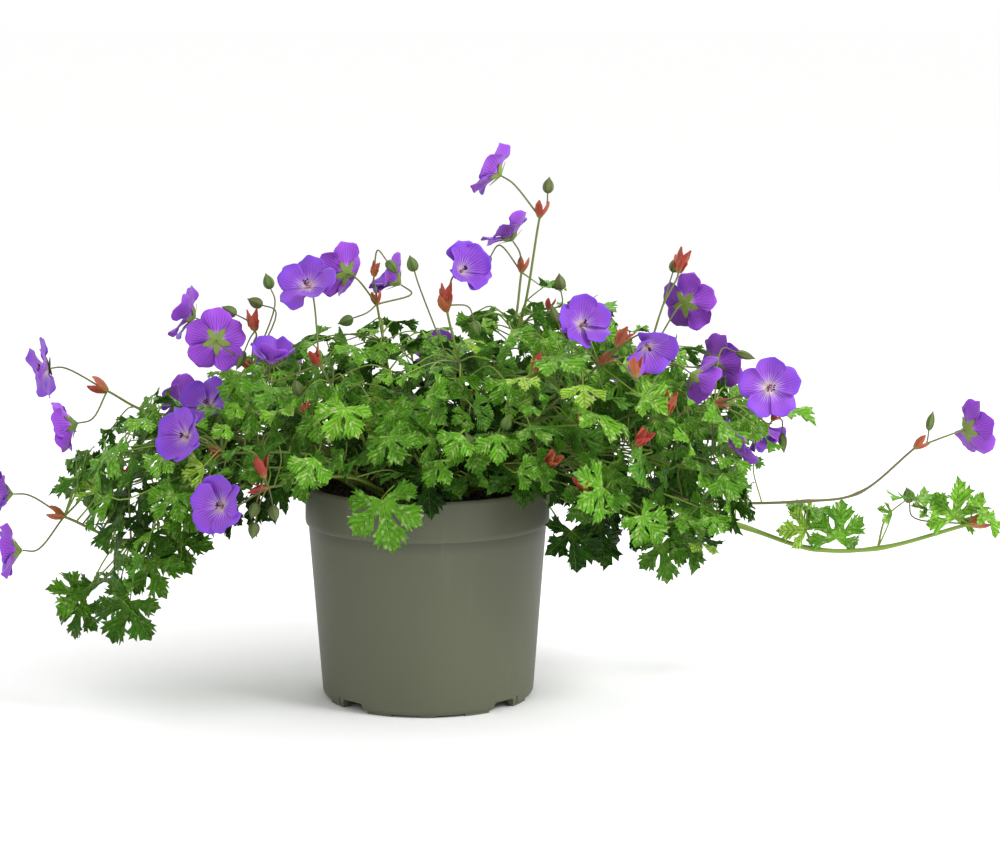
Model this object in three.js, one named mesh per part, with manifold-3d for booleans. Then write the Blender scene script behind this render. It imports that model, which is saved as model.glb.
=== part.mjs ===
import * as THREE from "three";
import { mergeVertices } from "three/addons/utils/BufferGeometryUtils.js";
import Module from "manifold-3d";

// A trailing hardy geranium in a round nursery pot.
// Millimetres, +Z up, origin at the centre of the pot's underside.
// The plant is leafy flowering stems and tufts of long-stalked leaves. Each stands in a plain hole in the
// soil. A stem or tuft is one body with its leaves, sepals and buds, and each corolla is a body of its own.

// ---------- Driving dimensions ----------

const GAP = 0.3;
const SLIVER = 0.3;

const POT = {
  height: 168.8,
  rimRadius: 95,
  bandHeight: 31.6,
  shoulderRadius: 92.6,
  footRadius: 82.7,
  wall: 1.9,
  floorHeight: 8.5,
  floorThickness: 2.1,
  footWidth: 8,
  padHeight: 1.5,
  bossRadius: 14,
  sides: 36,
};
const NOTCH = { bottomWidth: 26, topWidth: 19, height: 7.8, inset: 12, depth: 20, first: 45 };
const PADS = [
  { turn: 0, halfAngle: 4.4 },
  { turn: 28, halfAngle: 7.5 },
  { turn: 62, halfAngle: 7.5 },
];
const DRAIN_HOLE = { radius: 6, ring: 52, sides: 6 };

const SOIL = { edgeHeight: 156.5, shoulder: [56, 161.5], top: 163, sides: 18, holeSides: 4 };

const STEM = { radius: 2, sides: 3, footBottom: 150, footTop: 166, start: 165 };
const STALK = { radius: 1.0, sides: 3, steps: 3, straightEnd: 11 };
const PETIOLE = { radius: 1.2, sides: 3, stemSteps: 3, tuftSteps: 2, rise: 0.12, rimClear: 187, straightEnd: 7 };
const TUFT_FOOT_RADIUS = 3;
const HOLE_CLEARANCE = 0.4;

const BLADE = { thickness: 0.9, droop: 0.3, pleat: 0.04, sinus: 0.32, base: 0.17 };
const COROLLA = { radius: 24.5, thickness: 0.85, seat: 0.8, rise: 5.2 };
const SEPAL = { length: 12, waist: 3.2, thickness: 0.9, lean: 1.6 };
const BUD = { length: 13, radius: 3.2 };

// ---------- Colours ----------

function finish(color, roughness) {
  return new THREE.MeshStandardMaterial({ color, roughness, metalness: 0 });
}
const potPlastic = finish("#66685a", 0.6);
const pottingSoil = finish("#2e2219", 0.95);
const foliage = finish("#3f8a22", 0.55);
const petals = finish("#6a43c6", 0.6);

// ---------- Solids ----------

const wasm = await Module();
wasm.setup();

/** A closed geometry as a solid that can be joined and cut. */
function solidFrom(geometry) {
  const bare = geometry.clone();
  bare.deleteAttribute("normal");
  bare.deleteAttribute("uv");
  const merged = mergeVertices(bare);
  const vertProperties = Float32Array.from(merged.attributes.position.array);
  const triVerts = Uint32Array.from(merged.index.array);
  return new wasm.Manifold(new wasm.Mesh({ numProp: 3, vertProperties, triVerts }));
}

function geometryFrom(solid) {
  const mesh = solid.getMesh();
  const geometry = new THREE.BufferGeometry();
  geometry.setAttribute("position", new THREE.BufferAttribute(Float32Array.from(mesh.vertProperties), 3));
  geometry.setIndex(new THREE.BufferAttribute(Uint32Array.from(mesh.triVerts), 1));
  geometry.computeVertexNormals();
  return geometry;
}

/** Everything fused to one solid, without the slivers where stalks meet. */
function joined(solids) {
  return solids.reduce((whole, piece) => whole.add(piece)).simplify(SLIVER);
}

const vector = (xyz) => new THREE.Vector3(...xyz);
const radians = THREE.MathUtils.degToRad;
const UP = new THREE.Vector3(0, 0, 1);

/** A solid of revolution about Z from [radius, height] pairs. */
function turned(profile, sides) {
  const outline = profile.map(([radius, height]) => new THREE.Vector2(radius, height));
  return solidFrom(new THREE.LatheGeometry(outline, sides).rotateX(Math.PI / 2));
}

/** An upright prism with a regular section. */
function post(radius, sides, bottom, top, x, y) {
  const geometry = new THREE.CylinderGeometry(radius, radius, top - bottom, sides);
  return solidFrom(geometry.rotateX(Math.PI / 2).translate(x, y, (top + bottom) / 2));
}

/** A tube of constant section along a curve. */
function tube(curve, radius, sides, steps) {
  const corners = [];
  for (let i = 0; i < sides; i++) {
    const turn = (i / sides) * 2 * Math.PI;
    corners.push(new THREE.Vector2(radius * Math.cos(turn), radius * Math.sin(turn)));
  }
  return solidFrom(new THREE.ExtrudeGeometry(new THREE.Shape(corners), { steps, extrudePath: curve }));
}

/** A thin closed sheet: both faces have the same triangles, a constant offset apart. */
function sheet(points, faces, rim, offset) {
  const count = points.length;
  const half = offset.clone().multiplyScalar(0.5);
  const places = [];
  for (const side of [1, -1]) {
    for (const point of points) places.push(...point.clone().addScaledVector(half, side).toArray());
  }
  const index = [];
  for (const [a, b, c] of faces) index.push(a, b, c, a + count, c + count, b + count);
  rim.forEach((a, i) => {
    const b = rim[(i + 1) % rim.length];
    index.push(a + count, b + count, b, a + count, b, a);
  });
  const geometry = new THREE.BufferGeometry();
  geometry.setAttribute("position", new THREE.Float32BufferAttribute(places, 3));
  geometry.setIndex(index);
  return solidFrom(geometry);
}

// ---------- Pot ----------

/** The pot's inner wall from the floor up, as [radius, height]. */
function potInside() {
  const { height, rimRadius, bandHeight, shoulderRadius, footRadius, wall } = POT;
  const floorTop = POT.floorHeight + POT.floorThickness;
  const step = height - bandHeight;
  return [
    [footRadius + 0.8 - wall, floorTop],
    [shoulderRadius - wall, step - 1],
    [rimRadius - 0.4 - wall, step + 3],
    [rimRadius - 0.4 - wall, height],
  ];
}

function potOutside() {
  const { height, rimRadius, bandHeight, shoulderRadius, footRadius, footWidth, padHeight } = POT;
  const step = height - bandHeight;
  return [
    [footRadius - footWidth, POT.floorHeight],
    [footRadius - footWidth + 1, padHeight],
    [footRadius - 2.4, padHeight],
    [footRadius - 0.2, padHeight + 2.8],
    [shoulderRadius, step],
    [rimRadius - 0.5, step + 0.3],
    [rimRadius, step + 3],
    [rimRadius - 0.4, height - 2],
    [rimRadius - 1.2, height],
  ];
}

function potSolid() {
  const { bossRadius, floorHeight, floorThickness, footRadius, footWidth, padHeight, sides } = POT;
  const boss = [[0, 0], [bossRadius, 0], [bossRadius, floorHeight]];
  const inside = potInside().reverse();
  let pot = turned([...boss, ...potOutside(), ...inside, [0, floorHeight + floorThickness]], sides);
  for (let quarter = 0; quarter < 4; quarter++) {
    pot = pot.subtract(notch(NOTCH.first + 90 * quarter));
    pot = pot.subtract(drainHole(90 * quarter));
    for (const { turn, halfAngle } of PADS) {
      pot = pot.add(pad(90 * quarter + turn, halfAngle, footRadius - footWidth + 1.2, footRadius - 2.6, padHeight));
    }
  }
  return pot;
}

/** A trapezoid that cuts through the foot ring at a compass angle. */
function notch(angle) {
  const { bottomWidth, topWidth, height, inset, depth } = NOTCH;
  const outline = new THREE.Shape([
    new THREE.Vector2(-bottomWidth / 2, -1),
    new THREE.Vector2(bottomWidth / 2, -1),
    new THREE.Vector2(topWidth / 2, height),
    new THREE.Vector2(-topWidth / 2, height),
  ]);
  const geometry = new THREE.ExtrudeGeometry(outline, { depth, bevelEnabled: false });
  geometry.rotateX(Math.PI / 2).rotateZ(Math.PI / 2).translate(POT.footRadius - inset, 0, 0);
  return solidFrom(geometry.rotateZ(radians(angle)));
}

function drainHole(angle) {
  const { radius, ring, sides } = DRAIN_HOLE;
  const x = ring * Math.cos(radians(angle));
  const y = ring * Math.sin(radians(angle));
  return post(radius, sides, POT.floorHeight - 1, POT.floorHeight + POT.floorThickness + 1, x, y);
}

/** A low foot on the underside of the foot ring. */
function pad(turn, halfAngle, innerRadius, outerRadius, height) {
  const from = radians(turn - halfAngle);
  const to = radians(turn + halfAngle);
  const outline = new THREE.Shape();
  outline.absarc(0, 0, outerRadius, from, to, false);
  outline.absarc(0, 0, innerRadius, to, from, true);
  const options = { depth: height + GAP, bevelEnabled: false, curveSegments: 1 };
  return solidFrom(new THREE.ExtrudeGeometry(outline, options));
}

// ---------- Soil ----------

/** The soil fills the pot and has a plain hole for each stem foot in the list. */
function soilSolid(feet) {
  const wall = potInside().slice(0, 3).map(([radius, height]) => [radius - GAP, height + GAP]);
  const edge = [wall[2][0], SOIL.edgeHeight];
  const bottom = [0, wall[0][1]];
  let soil = turned([bottom, ...wall, edge, SOIL.shoulder, [0, SOIL.top]], SOIL.sides);
  for (const { x, y, radius } of feet) {
    const bottomOfHole = STEM.footBottom - HOLE_CLEARANCE;
    soil = soil.subtract(post(radius + HOLE_CLEARANCE, SOIL.holeSides, bottomOfHole, STEM.footTop + 4, x, y));
  }
  return soil;
}

// ---------- Leaves ----------

// Each lobe: its angle from the middle one in degrees, and its length as a share of the leaf's.
const LOBES = [
  { angle: -106, reach: 0.74, isBlunt: true },
  { angle: -53, reach: 0.92 },
  { angle: 0, reach: 1 },
  { angle: 53, reach: 0.92 },
  { angle: 106, reach: 0.74, isBlunt: true },
];
const LOBE_HALF_ANGLE = 26.5;
const SMALL_LEAF = 24;

function lobesOf(leaf) {
  return leaf.size < SMALL_LEAF ? LOBES.slice(1, 4) : LOBES;
}

/** A lobe's edge from its right sinus to just short of its left one, as polar points round the stalk's end. */
function lobeEdge({ angle, reach, isBlunt }) {
  const sinus = { angle: angle - LOBE_HALF_ANGLE, reach: BLADE.sinus, lift: 1 };
  if (isBlunt) return [sinus, ...[-14, 14].map((turn) => ({ angle: angle + turn, reach: 0.95 * reach, lift: 0.4 }))];
  const [rightTooth, leftTooth] = [-18, 18].map((turn) => ({ angle: angle + turn, reach: 0.8 * reach, lift: 0.6 }));
  return [sinus, rightTooth, { angle, reach, lift: 0 }, leftTooth];
}

/** A leaf's own axes: forward along the middle lobe, up from the blade, and sideways. */
function leafAxes(at, tip) {
  const forward = vector(tip).normalize();
  const outward = new THREE.Vector3(at[0], at[1], 0).normalize().multiplyScalar(0.6);
  const sky = outward.add(UP);
  const up = sky.addScaledVector(forward, -sky.dot(forward)).normalize();
  const side = new THREE.Vector3().crossVectors(up, forward);
  return { forward, up, side };
}

/** The place on a drooping blade at a polar point. */
function onBlade(leaf, angle, reach, lift) {
  const { forward, up, side } = leafAxes(leaf.at, leaf.tip);
  const distance = reach * leaf.size;
  const height = (lift * BLADE.pleat - BLADE.droop * reach * reach) * leaf.size;
  return vector(leaf.at)
    .addScaledVector(forward, distance * Math.cos(radians(angle)) - BLADE.base * leaf.size)
    .addScaledVector(side, distance * Math.sin(radians(angle)))
    .addScaledVector(up, height);
}

function leafSolid(leaf) {
  const points = [onBlade(leaf, 0, 0, 0)];
  const faces = [];
  const lobes = lobesOf(leaf);
  for (const lobe of lobes) {
    const sinus = points.length;
    for (const { angle, reach, lift } of lobeEdge(lobe)) points.push(onBlade(leaf, angle, reach, lift));
    const nextSinus = points.length;
    faces.push([0, sinus, nextSinus]);
    for (let corner = sinus + 1; corner < nextSinus; corner++) faces.push([sinus, corner, corner + 1]);
  }
  const last = lobes[lobes.length - 1];
  points.push(onBlade(leaf, last.angle + LOBE_HALF_ANGLE, BLADE.sinus, 1));
  const offset = leafAxes(leaf.at, leaf.tip).up.multiplyScalar(BLADE.thickness);
  return sheet(points, faces, points.map((point, i) => i), offset);
}

/** The leaf stalk's route: up from its start, over, and square into the blade from below. */
function petioleCurve(start, leaf) {
  const { up } = leafAxes(leaf.at, leaf.tip);
  const end = vector(leaf.at).addScaledVector(up, -0.15);
  const middle = start.clone().lerp(end, 0.5);
  middle.z += PETIOLE.rise * start.distanceTo(end);
  if (leaf.overRim) middle.z = Math.max(middle.z, PETIOLE.rimClear);
  const below = end.clone().addScaledVector(up, -PETIOLE.straightEnd);
  return new THREE.CatmullRomCurve3([start, middle, below, end]);
}

function petioleSolid(start, leaf, steps) {
  return tube(petioleCurve(start, leaf), PETIOLE.radius, PETIOLE.sides, steps);
}

// ---------- Flowers ----------

/** Axes with Z along the way a flower faces. */
function flowerAxes(faces) {
  const ahead = vector(faces).normalize();
  const side = new THREE.Vector3().crossVectors(UP, ahead).normalize();
  const lift = new THREE.Vector3().crossVectors(ahead, side);
  return { ahead, side, lift };
}

/** The place at a radius, angle and height in a flower's own axes. */
function onFlower(flower, radius, angle, height) {
  const { ahead, side, lift } = flowerAxes(flower.faces);
  return vector(flower.at)
    .addScaledVector(side, radius * Math.cos(radians(angle)))
    .addScaledVector(lift, radius * Math.sin(radians(angle)))
    .addScaledVector(ahead, height);
}

/** Five broad petals in one shallow dish. */
function corollaSolid(flower) {
  const { radius, thickness, seat, rise } = COROLLA;
  const edge = [
    { share: 0.14, turn: -36, lift: 0.02 },
    { share: 0.56, turn: -29, lift: 0.5 },
    { share: 0.94, turn: -21, lift: 1 },
    { share: 0.94, turn: 21, lift: 1 },
    { share: 0.56, turn: 29, lift: 0.5 },
  ];
  const corners = edge.length;
  const points = [];
  const faces = [[0, corners, 2 * corners], [0, 2 * corners, 3 * corners], [0, 3 * corners, 4 * corners]];
  for (let petal = 0; petal < 5; petal++) {
    for (const { share, turn, lift } of edge) {
      points.push(onFlower(flower, share * radius, 90 + 72 * petal + turn, seat + lift * rise));
    }
    const [throat, right, rightTip, leftTip, left] = edge.map((corner, i) => corners * petal + i);
    const nextThroat = (corners * (petal + 1)) % (5 * corners);
    faces.push([throat, right, left], [throat, left, nextThroat]);
    faces.push([right, rightTip, left], [rightTip, leftTip, left]);
  }
  const offset = flowerAxes(flower.faces).ahead.multiplyScalar(thickness);
  return sheet(points, faces, points.map((point, i) => i), offset);
}

/** The green star of five sepals that the corolla rests on. */
function sepalSolid(flower) {
  const { length, waist, thickness, lean } = SEPAL;
  const points = [];
  const faces = [[1, 3, 5], [1, 5, 7], [1, 7, 9]];
  for (let i = 0; i < 10; i++) {
    const isTip = i % 2 === 0;
    const height = -thickness / 2 - (isTip ? lean : 0);
    points.push(onFlower(flower, isTip ? length : waist, 54 + 36 * i, height));
    if (isTip) faces.push([(i + 9) % 10, i, i + 1]);
  }
  const offset = flowerAxes(flower.faces).ahead.multiplyScalar(thickness);
  return sheet(points, faces, points.map((point, i) => i), offset);
}

/** A closed bud, slim along the way it points. */
function budSolid(bud) {
  const { length, radius } = BUD;
  const turn = new THREE.Quaternion().setFromUnitVectors(UP, vector(bud.points).normalize());
  const form = new THREE.OctahedronGeometry(1).scale(radius, radius, length / 2).translate(0, 0, length / 2);
  return solidFrom(form.applyQuaternion(turn).translate(...bud.at));
}

/** A flower or bud stalk: from a fork, ending straight along the way the flower faces. */
function stalkCurve(start, at, ahead, sunk) {
  const end = vector(at).addScaledVector(ahead, sunk);
  const before = vector(at).addScaledVector(ahead, -STALK.straightEnd);
  return new THREE.CatmullRomCurve3([start, before, end]);
}

// ---------- Where everything grows ----------

// Each shoot: where its foot stands in the soil, the points its stem passes, and what grows at which point.
const SHOOTS = [
  {
    name: "crest",
    foot: [14, -6],
    stem: [[40, -10, 230], [70, -10, 288], [86, -20, 375]],
    blooms: [{ from: 2, at: [54, -20, 408], faces: [-0.6, 0.2, 0.75] }],
    buds: [{ from: 2, at: [92, -20, 393], points: [0.1, 0, 1] }],
    leaves: [{ from: 1, at: [92, -22, 322], tip: [0.9, -0.4, 0.1], size: 20 }],
  },
  {
    name: "crest_back",
    foot: [12, 8],
    stem: [[46, 14, 240], [67, 20, 284], [74, 30, 328]],
    blooms: [{ from: 2, at: [65, 30, 356], faces: [-0.45, -0.1, 0.9] }],
    buds: [{ from: 2, at: [50, 34, 340], points: [-0.6, 0, -0.8] }],
    leaves: [{ from: 2, at: [92, 34, 318], tip: [0.9, -0.2, 0.2], size: 22 }],
  },
  {
    name: "front_high",
    foot: [2, -14],
    stem: [[16, -32, 205], [28, -58, 240], [15, -78, 310]],
    blooms: [{ from: 2, at: [29, -92, 344], faces: [0.45, -0.75, 0.35] }],
    buds: [{ from: 1, at: [-9, -60, 338], points: [-0.3, 0, 1] }],
    leaves: [],
  },
  {
    name: "left_high",
    foot: [-16, -14],
    stem: [[-52, -50, 215], [-80, -76, 270]],
    blooms: [
      { from: 1, at: [-88, -72, 328], faces: [-0.1, -0.9, 0.35] },
      { from: 1, at: [-114, -84, 280], faces: [0.3, -0.3, 0.8] },
    ],
    buds: [],
    leaves: [],
  },
  {
    name: "left_middle",
    foot: [-8, 2],
    stem: [[-26, -4, 235], [-38, -14, 308]],
    blooms: [
      { from: 1, at: [-62, -26, 334], faces: [-0.5, 0.6, 0.6] },
      { from: 1, at: [-26, 20, 324], faces: [-0.7, -0.3, 0.5] },
    ],
    buds: [{ from: 1, at: [-56, -36, 300], points: [-0.9, -0.3, -0.3] }],
    leaves: [],
  },
  {
    name: "left_outer",
    foot: [-22, -4],
    stem: [[-72, -22, 222], [-132, -46, 264]],
    blooms: [
      { from: 1, at: [-180, -16, 300], faces: [-0.9, 0.1, 0.4] },
      { from: 1, at: [-156, -74, 288], faces: [-0.35, 0.85, 0.3] },
    ],
    buds: [
      { from: 1, at: [-124, -36, 310], points: [-0.9, 0, 0.4] },
      { from: 1, at: [-118, -30, 322], points: [-0.3, 0.2, 0.9] },
    ],
    leaves: [],
  },
  {
    name: "left_front",
    foot: [-24, -18],
    stem: [[-84, -60, 198], [-152, -88, 206]],
    blooms: [
      { from: 1, at: [-178, -120, 224], faces: [-0.45, -0.8, 0.35] },
      { from: 1, at: [-166, -44, 236], faces: [-0.3, -0.5, 0.6] },
    ],
    buds: [],
    leaves: [],
  },
  {
    name: "left_low",
    foot: [-16, -28],
    stem: [[-58, -80, 186], [-118, -112, 184]],
    blooms: [{ from: 1, at: [-150, -142, 176], faces: [-0.3, -0.9, 0.2] }],
    buds: [{ from: 1, at: [-126, -124, 160], points: [-0.2, -0.2, -1] }],
    leaves: [],
  },
  {
    name: "far_left",
    foot: [-32, 6],
    stem: [[-112, -4, 216], [-212, -18, 226], [-244, -20, 243]],
    blooms: [
      { from: 2, at: [-290, -10, 259], faces: [-0.75, -0.6, 0.1] },
      { from: 2, at: [-271, -44, 220], faces: [-0.9, -0.3, -0.2] },
    ],
    buds: [],
    leaves: [
      { from: 1, at: [-200, -42, 218], tip: [-0.6, -0.8, -0.1], size: 32 },
      { from: 1, at: [-254, -16, 184], tip: [-0.8, -0.3, -0.5], size: 33 },
    ],
  },
  {
    name: "low_left",
    foot: [-34, -8],
    stem: [[-100, -22, 186], [-168, -34, 156], [-226, -42, 131], [-276, -44, 150]],
    blooms: [
      { from: 3, at: [-324, -22, 164], faces: [-0.9, -0.3, 0.1] },
      { from: 3, at: [-312, -64, 128], faces: [-0.85, -0.45, 0.1] },
    ],
    buds: [],
    leaves: [
      { from: 1, at: [-187, -56, 129], tip: [0.3, -0.6, -0.75], size: 32 },
      { from: 2, at: [-208, -62, 114], tip: [0.35, -0.5, -0.8], size: 32 },
      { from: 2, at: [-254, -22, 94], tip: [-0.85, -0.1, -0.4], size: 34 },
      { from: 2, at: [-236, -56, 88], tip: [-0.1, -0.2, -1], size: 33 },
    ],
  },
  {
    name: "right_front",
    foot: [18, -16],
    stem: [[72, -56, 216], [128, -84, 270]],
    blooms: [
      { from: 1, at: [115, -94, 302], faces: [0.5, -0.75, 0.3] },
      { from: 1, at: [161, -124, 288], faces: [0.15, -0.9, -0.2] },
    ],
    buds: [{ from: 1, at: [98, -70, 300], points: [-0.4, 0.2, 1] }],
    leaves: [],
  },
  {
    name: "right_back",
    foot: [24, 6],
    stem: [[100, 0, 236], [168, -12, 262]],
    blooms: [
      { from: 1, at: [200, 4, 306], faces: [0.7, 0.6, 0.2] },
      { from: 1, at: [222, -10, 261], faces: [0.7, 0.6, 0.1] },
      { from: 1, at: [202, -64, 258], faces: [0.7, 0.2, -0.5] },
    ],
    buds: [{ from: 1, at: [190, 6, 330], points: [0.3, 0, 1] }],
    leaves: [{ from: 0, at: [124, 6, 304], tip: [0.8, -0.5, 0.15], size: 33 }],
  },
  {
    name: "right_outer",
    foot: [28, -8],
    stem: [[124, -38, 206], [216, -60, 236]],
    blooms: [
      { from: 1, at: [253, -94, 254], faces: [0.15, -0.97, 0.1] },
      { from: 1, at: [228, -78, 208], faces: [0.6, -0.3, 0.7] },
      { from: 1, at: [264, 2, 202], faces: [0.4, -0.2, -0.9] },
    ],
    buds: [{ from: 1, at: [236, -30, 272], points: [0.9, 0, -0.3] }],
    leaves: [{ from: 1, at: [272, -50, 232], tip: [0.9, -0.4, 0], size: 30 }],
  },
  {
    name: "far_right",
    foot: [38, 7],
    stem: [[110, -14, 184], [204, -28, 158], [290, -38, 158], [330, -38, 164], [374, -32, 198]],
    blooms: [{ from: 4, at: [416, -30, 212], faces: [0.95, 0.1, 0.1] }],
    buds: [{ from: 4, at: [384, -34, 212], points: [0.2, 0, 1] }],
    leaves: [],
  },
  {
    name: "runner",
    foot: [34, 17],
    stem: [[106, 12, 182], [170, 6, 154], [246, -6, 132], [300, -10, 115], [350, -14, 116], [420, -20, 136]],
    blooms: [],
    buds: [{ from: 5, at: [376, -4, 150], points: [-0.2, 0.2, 1] }],
    leaves: [
      { from: 3, at: [300, -12, 148], tip: [0.9, -0.45, -0.1], size: 37 },
      { from: 4, at: [378, -18, 156], tip: [0.9, -0.4, 0.05], size: 34 },
      { from: 5, at: [432, -22, 146], tip: [0.5, -0.5, -0.7], size: 27 },
    ],
  },
  {
    name: "back_right",
    foot: [16, 22],
    stem: [[84, 76, 212], [122, 108, 226]],
    blooms: [
      { from: 1, at: [154, 126, 240], faces: [0.6, 0.7, 0.4] },
      { from: 1, at: [96, 146, 222], faces: [0.1, 0.95, 0.3] },
    ],
    buds: [],
    leaves: [],
  },
  {
    name: "back_middle",
    foot: [-2, 28],
    stem: [[-2, 84, 222], [4, 124, 230]],
    blooms: [{ from: 1, at: [10, 152, 246], faces: [0, 0.9, 0.45] }],
    buds: [{ from: 1, at: [-12, 134, 250], points: [-0.2, 0.2, 1] }],
    leaves: [],
  },
  {
    name: "back_left",
    foot: [-16, 22],
    stem: [[-64, 76, 214], [-98, 108, 222]],
    blooms: [
      { from: 1, at: [-120, 128, 240], faces: [-0.5, 0.75, 0.4] },
    ],
    buds: [],
    leaves: [],
  },
  {
    name: "side_left",
    foot: [-28, 16],
    stem: [[-112, 62, 200], [-164, 84, 204]],
    blooms: [{ from: 1, at: [-196, 96, 216], faces: [-0.8, 0.5, 0.3] }],
    buds: [],
    leaves: [],
  },
];

// Each tuft: its foot, the leaves that have a set place, and the parts of the dome and skirt that the rest fill.
const TUFTS = [
  {
    name: "front",
    foot: [4, -36],
    dome: { azimuth: -84, spread: 46, low: 2, high: 50, leaves: 4 },
    leaves: [
      { at: [0, -96, 186], tip: [0.1, -0.6, -0.75], size: 34 },
      { at: [34, -112, 212], tip: [0.2, -0.8, -0.5], size: 31 },
    ],
  },
  {
    name: "front_right",
    foot: [30, -30],
    dome: { azimuth: -48, spread: 50, low: -12, high: 50, leaves: 3 },
    leaves: [
      { at: [68, -106, 188], tip: [0.1, -0.7, -0.7], size: 32 },
      { at: [134, -106, 190], tip: [0.1, -0.35, -0.92], size: 37 },
      { at: [128, -122, 236], tip: [0.3, -0.9, -0.2], size: 30 },
    ],
  },
  {
    name: "right",
    foot: [47, -6],
    dome: { azimuth: -8, spread: 48, low: -12, high: 52, leaves: 4 },
    skirt: { azimuth: 16, spread: 20, low: 0, high: 30, leaves: 2 },
    leaves: [
      { at: [212, -84, 190], tip: [0.6, -0.6, -0.5], size: 33 },
      { at: [196, -62, 132], tip: [0.4, -0.4, -0.8], size: 32 },
    ],
  },
  {
    name: "back_right",
    foot: [38, 30],
    dome: { azimuth: 35, spread: 50, low: -10, high: 52, leaves: 5 },
    skirt: { azimuth: 38, spread: 44, low: 4, high: 46, leaves: 4 },
    leaves: [],
  },
  {
    name: "back",
    foot: [8, 42],
    dome: { azimuth: 84, spread: 56, low: -10, high: 52, leaves: 6 },
    skirt: { azimuth: 88, spread: 54, low: 4, high: 46, leaves: 3 },
    leaves: [],
  },
  {
    name: "back_left",
    foot: [-30, 32],
    dome: { azimuth: 136, spread: 56, low: -10, high: 52, leaves: 5 },
    skirt: { azimuth: 138, spread: 44, low: 4, high: 46, leaves: 4 },
    leaves: [],
  },
  {
    name: "left",
    foot: [-46, 0],
    dome: { azimuth: 186, spread: 54, low: 2, high: 52, leaves: 5 },
    skirt: { azimuth: 168, spread: 20, low: -8, high: 26, leaves: 2 },
    leaves: [],
  },
  {
    name: "front_left",
    foot: [-36, -24],
    dome: { azimuth: 224, spread: 40, low: 8, high: 52, leaves: 4 },
    leaves: [{ at: [-92, -122, 196], tip: [0, -0.3, -0.95], size: 28 }],
  },
];
const CROWN_TUFT = {
  name: "crown",
  foot: [0, -2],
  dome: { azimuth: 0, spread: 360, low: 44, high: 84, leaves: 10 },
  leaves: [],
};

// The leafy dome that the tufts' blades lie on, and the wide skirt of longer-stalked leaves round it.
const DOME = { middle: [4, 0, 150], half: [162, 132, 128], inner: 0.72, outer: 1.02, leafSize: 30 };
const SKIRT = { middle: [0, 0, 165], half: [244, 130, 112], inner: 0.86, outer: 1, leafSize: 33 };
const RANDOM_LEAF = { sizeSpread: 9, yaw: 80, steepest: 62, topSlope: 12, tries: 400, seed: 42 };
const CLEAR = {
  blades: 9,
  stalks: 4.8,
  stalkStart: 8,
  spacing: 5,
  potRadius: 101,
  potTop: 175,
  soilRadius: 84,
  soilTop: 168,
};

/** Seeded random numbers from 0 to 1. */
function seeded(seed) {
  let state = seed;
  return () => {
    state = (Math.imul(state, 1664525) + 1013904223) >>> 0;
    return state / 4294967296;
  };
}

/** Places along a curve, about as far apart as asked. */
function along(curve, spacing) {
  let length = 0;
  for (let i = 1; i < curve.points.length; i++) length += curve.points[i].distanceTo(curve.points[i - 1]);
  const count = Math.ceil(length / spacing);
  const places = [];
  for (let i = 0; i <= count; i++) places.push(curve.getPoint(i / count));
  return places;
}

/** Points spread over a blade, which stand for it when room is looked for. */
function bladePoints(leaf) {
  const places = [onBlade(leaf, 0, 0, 0)];
  for (const { angle, reach } of lobesOf(leaf)) {
    for (const share of [0.4, 0.7, 1]) places.push(onBlade(leaf, angle, share * reach, 0));
    for (const turn of [-19, 19]) places.push(onBlade(leaf, angle + turn, 0.68 * reach, 0));
  }
  return places;
}

function corollaPoints(flower) {
  const places = [vector(flower.at)];
  for (let i = 0; i < 10; i++) {
    places.push(onFlower(flower, 0.55 * COROLLA.radius, 36 * i, COROLLA.seat + 0.5 * COROLLA.rise));
    places.push(onFlower(flower, COROLLA.radius, 36 * i, COROLLA.seat + COROLLA.rise));
  }
  return places;
}

function isClear(places, others, distance) {
  return places.every((place) => others.every((other) => place.distanceTo(other.place) > distance));
}

function clearOfPot(place) {
  const distance = Math.hypot(place.x, place.y);
  if (distance > CLEAR.potRadius) return true;
  return place.z > (distance > CLEAR.soilRadius ? CLEAR.potTop : CLEAR.soilTop);
}

/** A leaf at a random place in one part of the dome or of the skirt. */
function randomLeaf(part, form, random) {
  const azimuth = radians(part.azimuth + (random() - 0.5) * part.spread);
  const elevation = radians(part.low + random() * (part.high - part.low));
  const depth = form.inner + random() * (form.outer - form.inner);
  const yaw = azimuth + radians((random() - 0.5) * RANDOM_LEAF.yaw);
  const size = form.leafSize + random() * RANDOM_LEAF.sizeSpread;
  const level = Math.cos(elevation);
  const slope = radians(RANDOM_LEAF.topSlope + (RANDOM_LEAF.steepest - RANDOM_LEAF.topSlope) * level * level);
  const at = [
    form.middle[0] + form.half[0] * depth * level * Math.cos(azimuth),
    form.middle[1] + form.half[1] * depth * level * Math.sin(azimuth),
    form.middle[2] + form.half[2] * depth * Math.sin(elevation),
  ];
  const tip = [Math.cos(slope) * Math.cos(yaw), Math.cos(slope) * Math.sin(yaw), -Math.sin(slope)];
  return { at, tip, size, overRim: Math.hypot(at[0], at[1]) > POT.rimRadius };
}

/** A leaf stalk's places past the crowded start. */
function freeStalk(start, leaf) {
  const places = along(petioleCurve(start, leaf), CLEAR.spacing);
  return places.filter((place) => place.distanceTo(start) > CLEAR.stalkStart);
}

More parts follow.
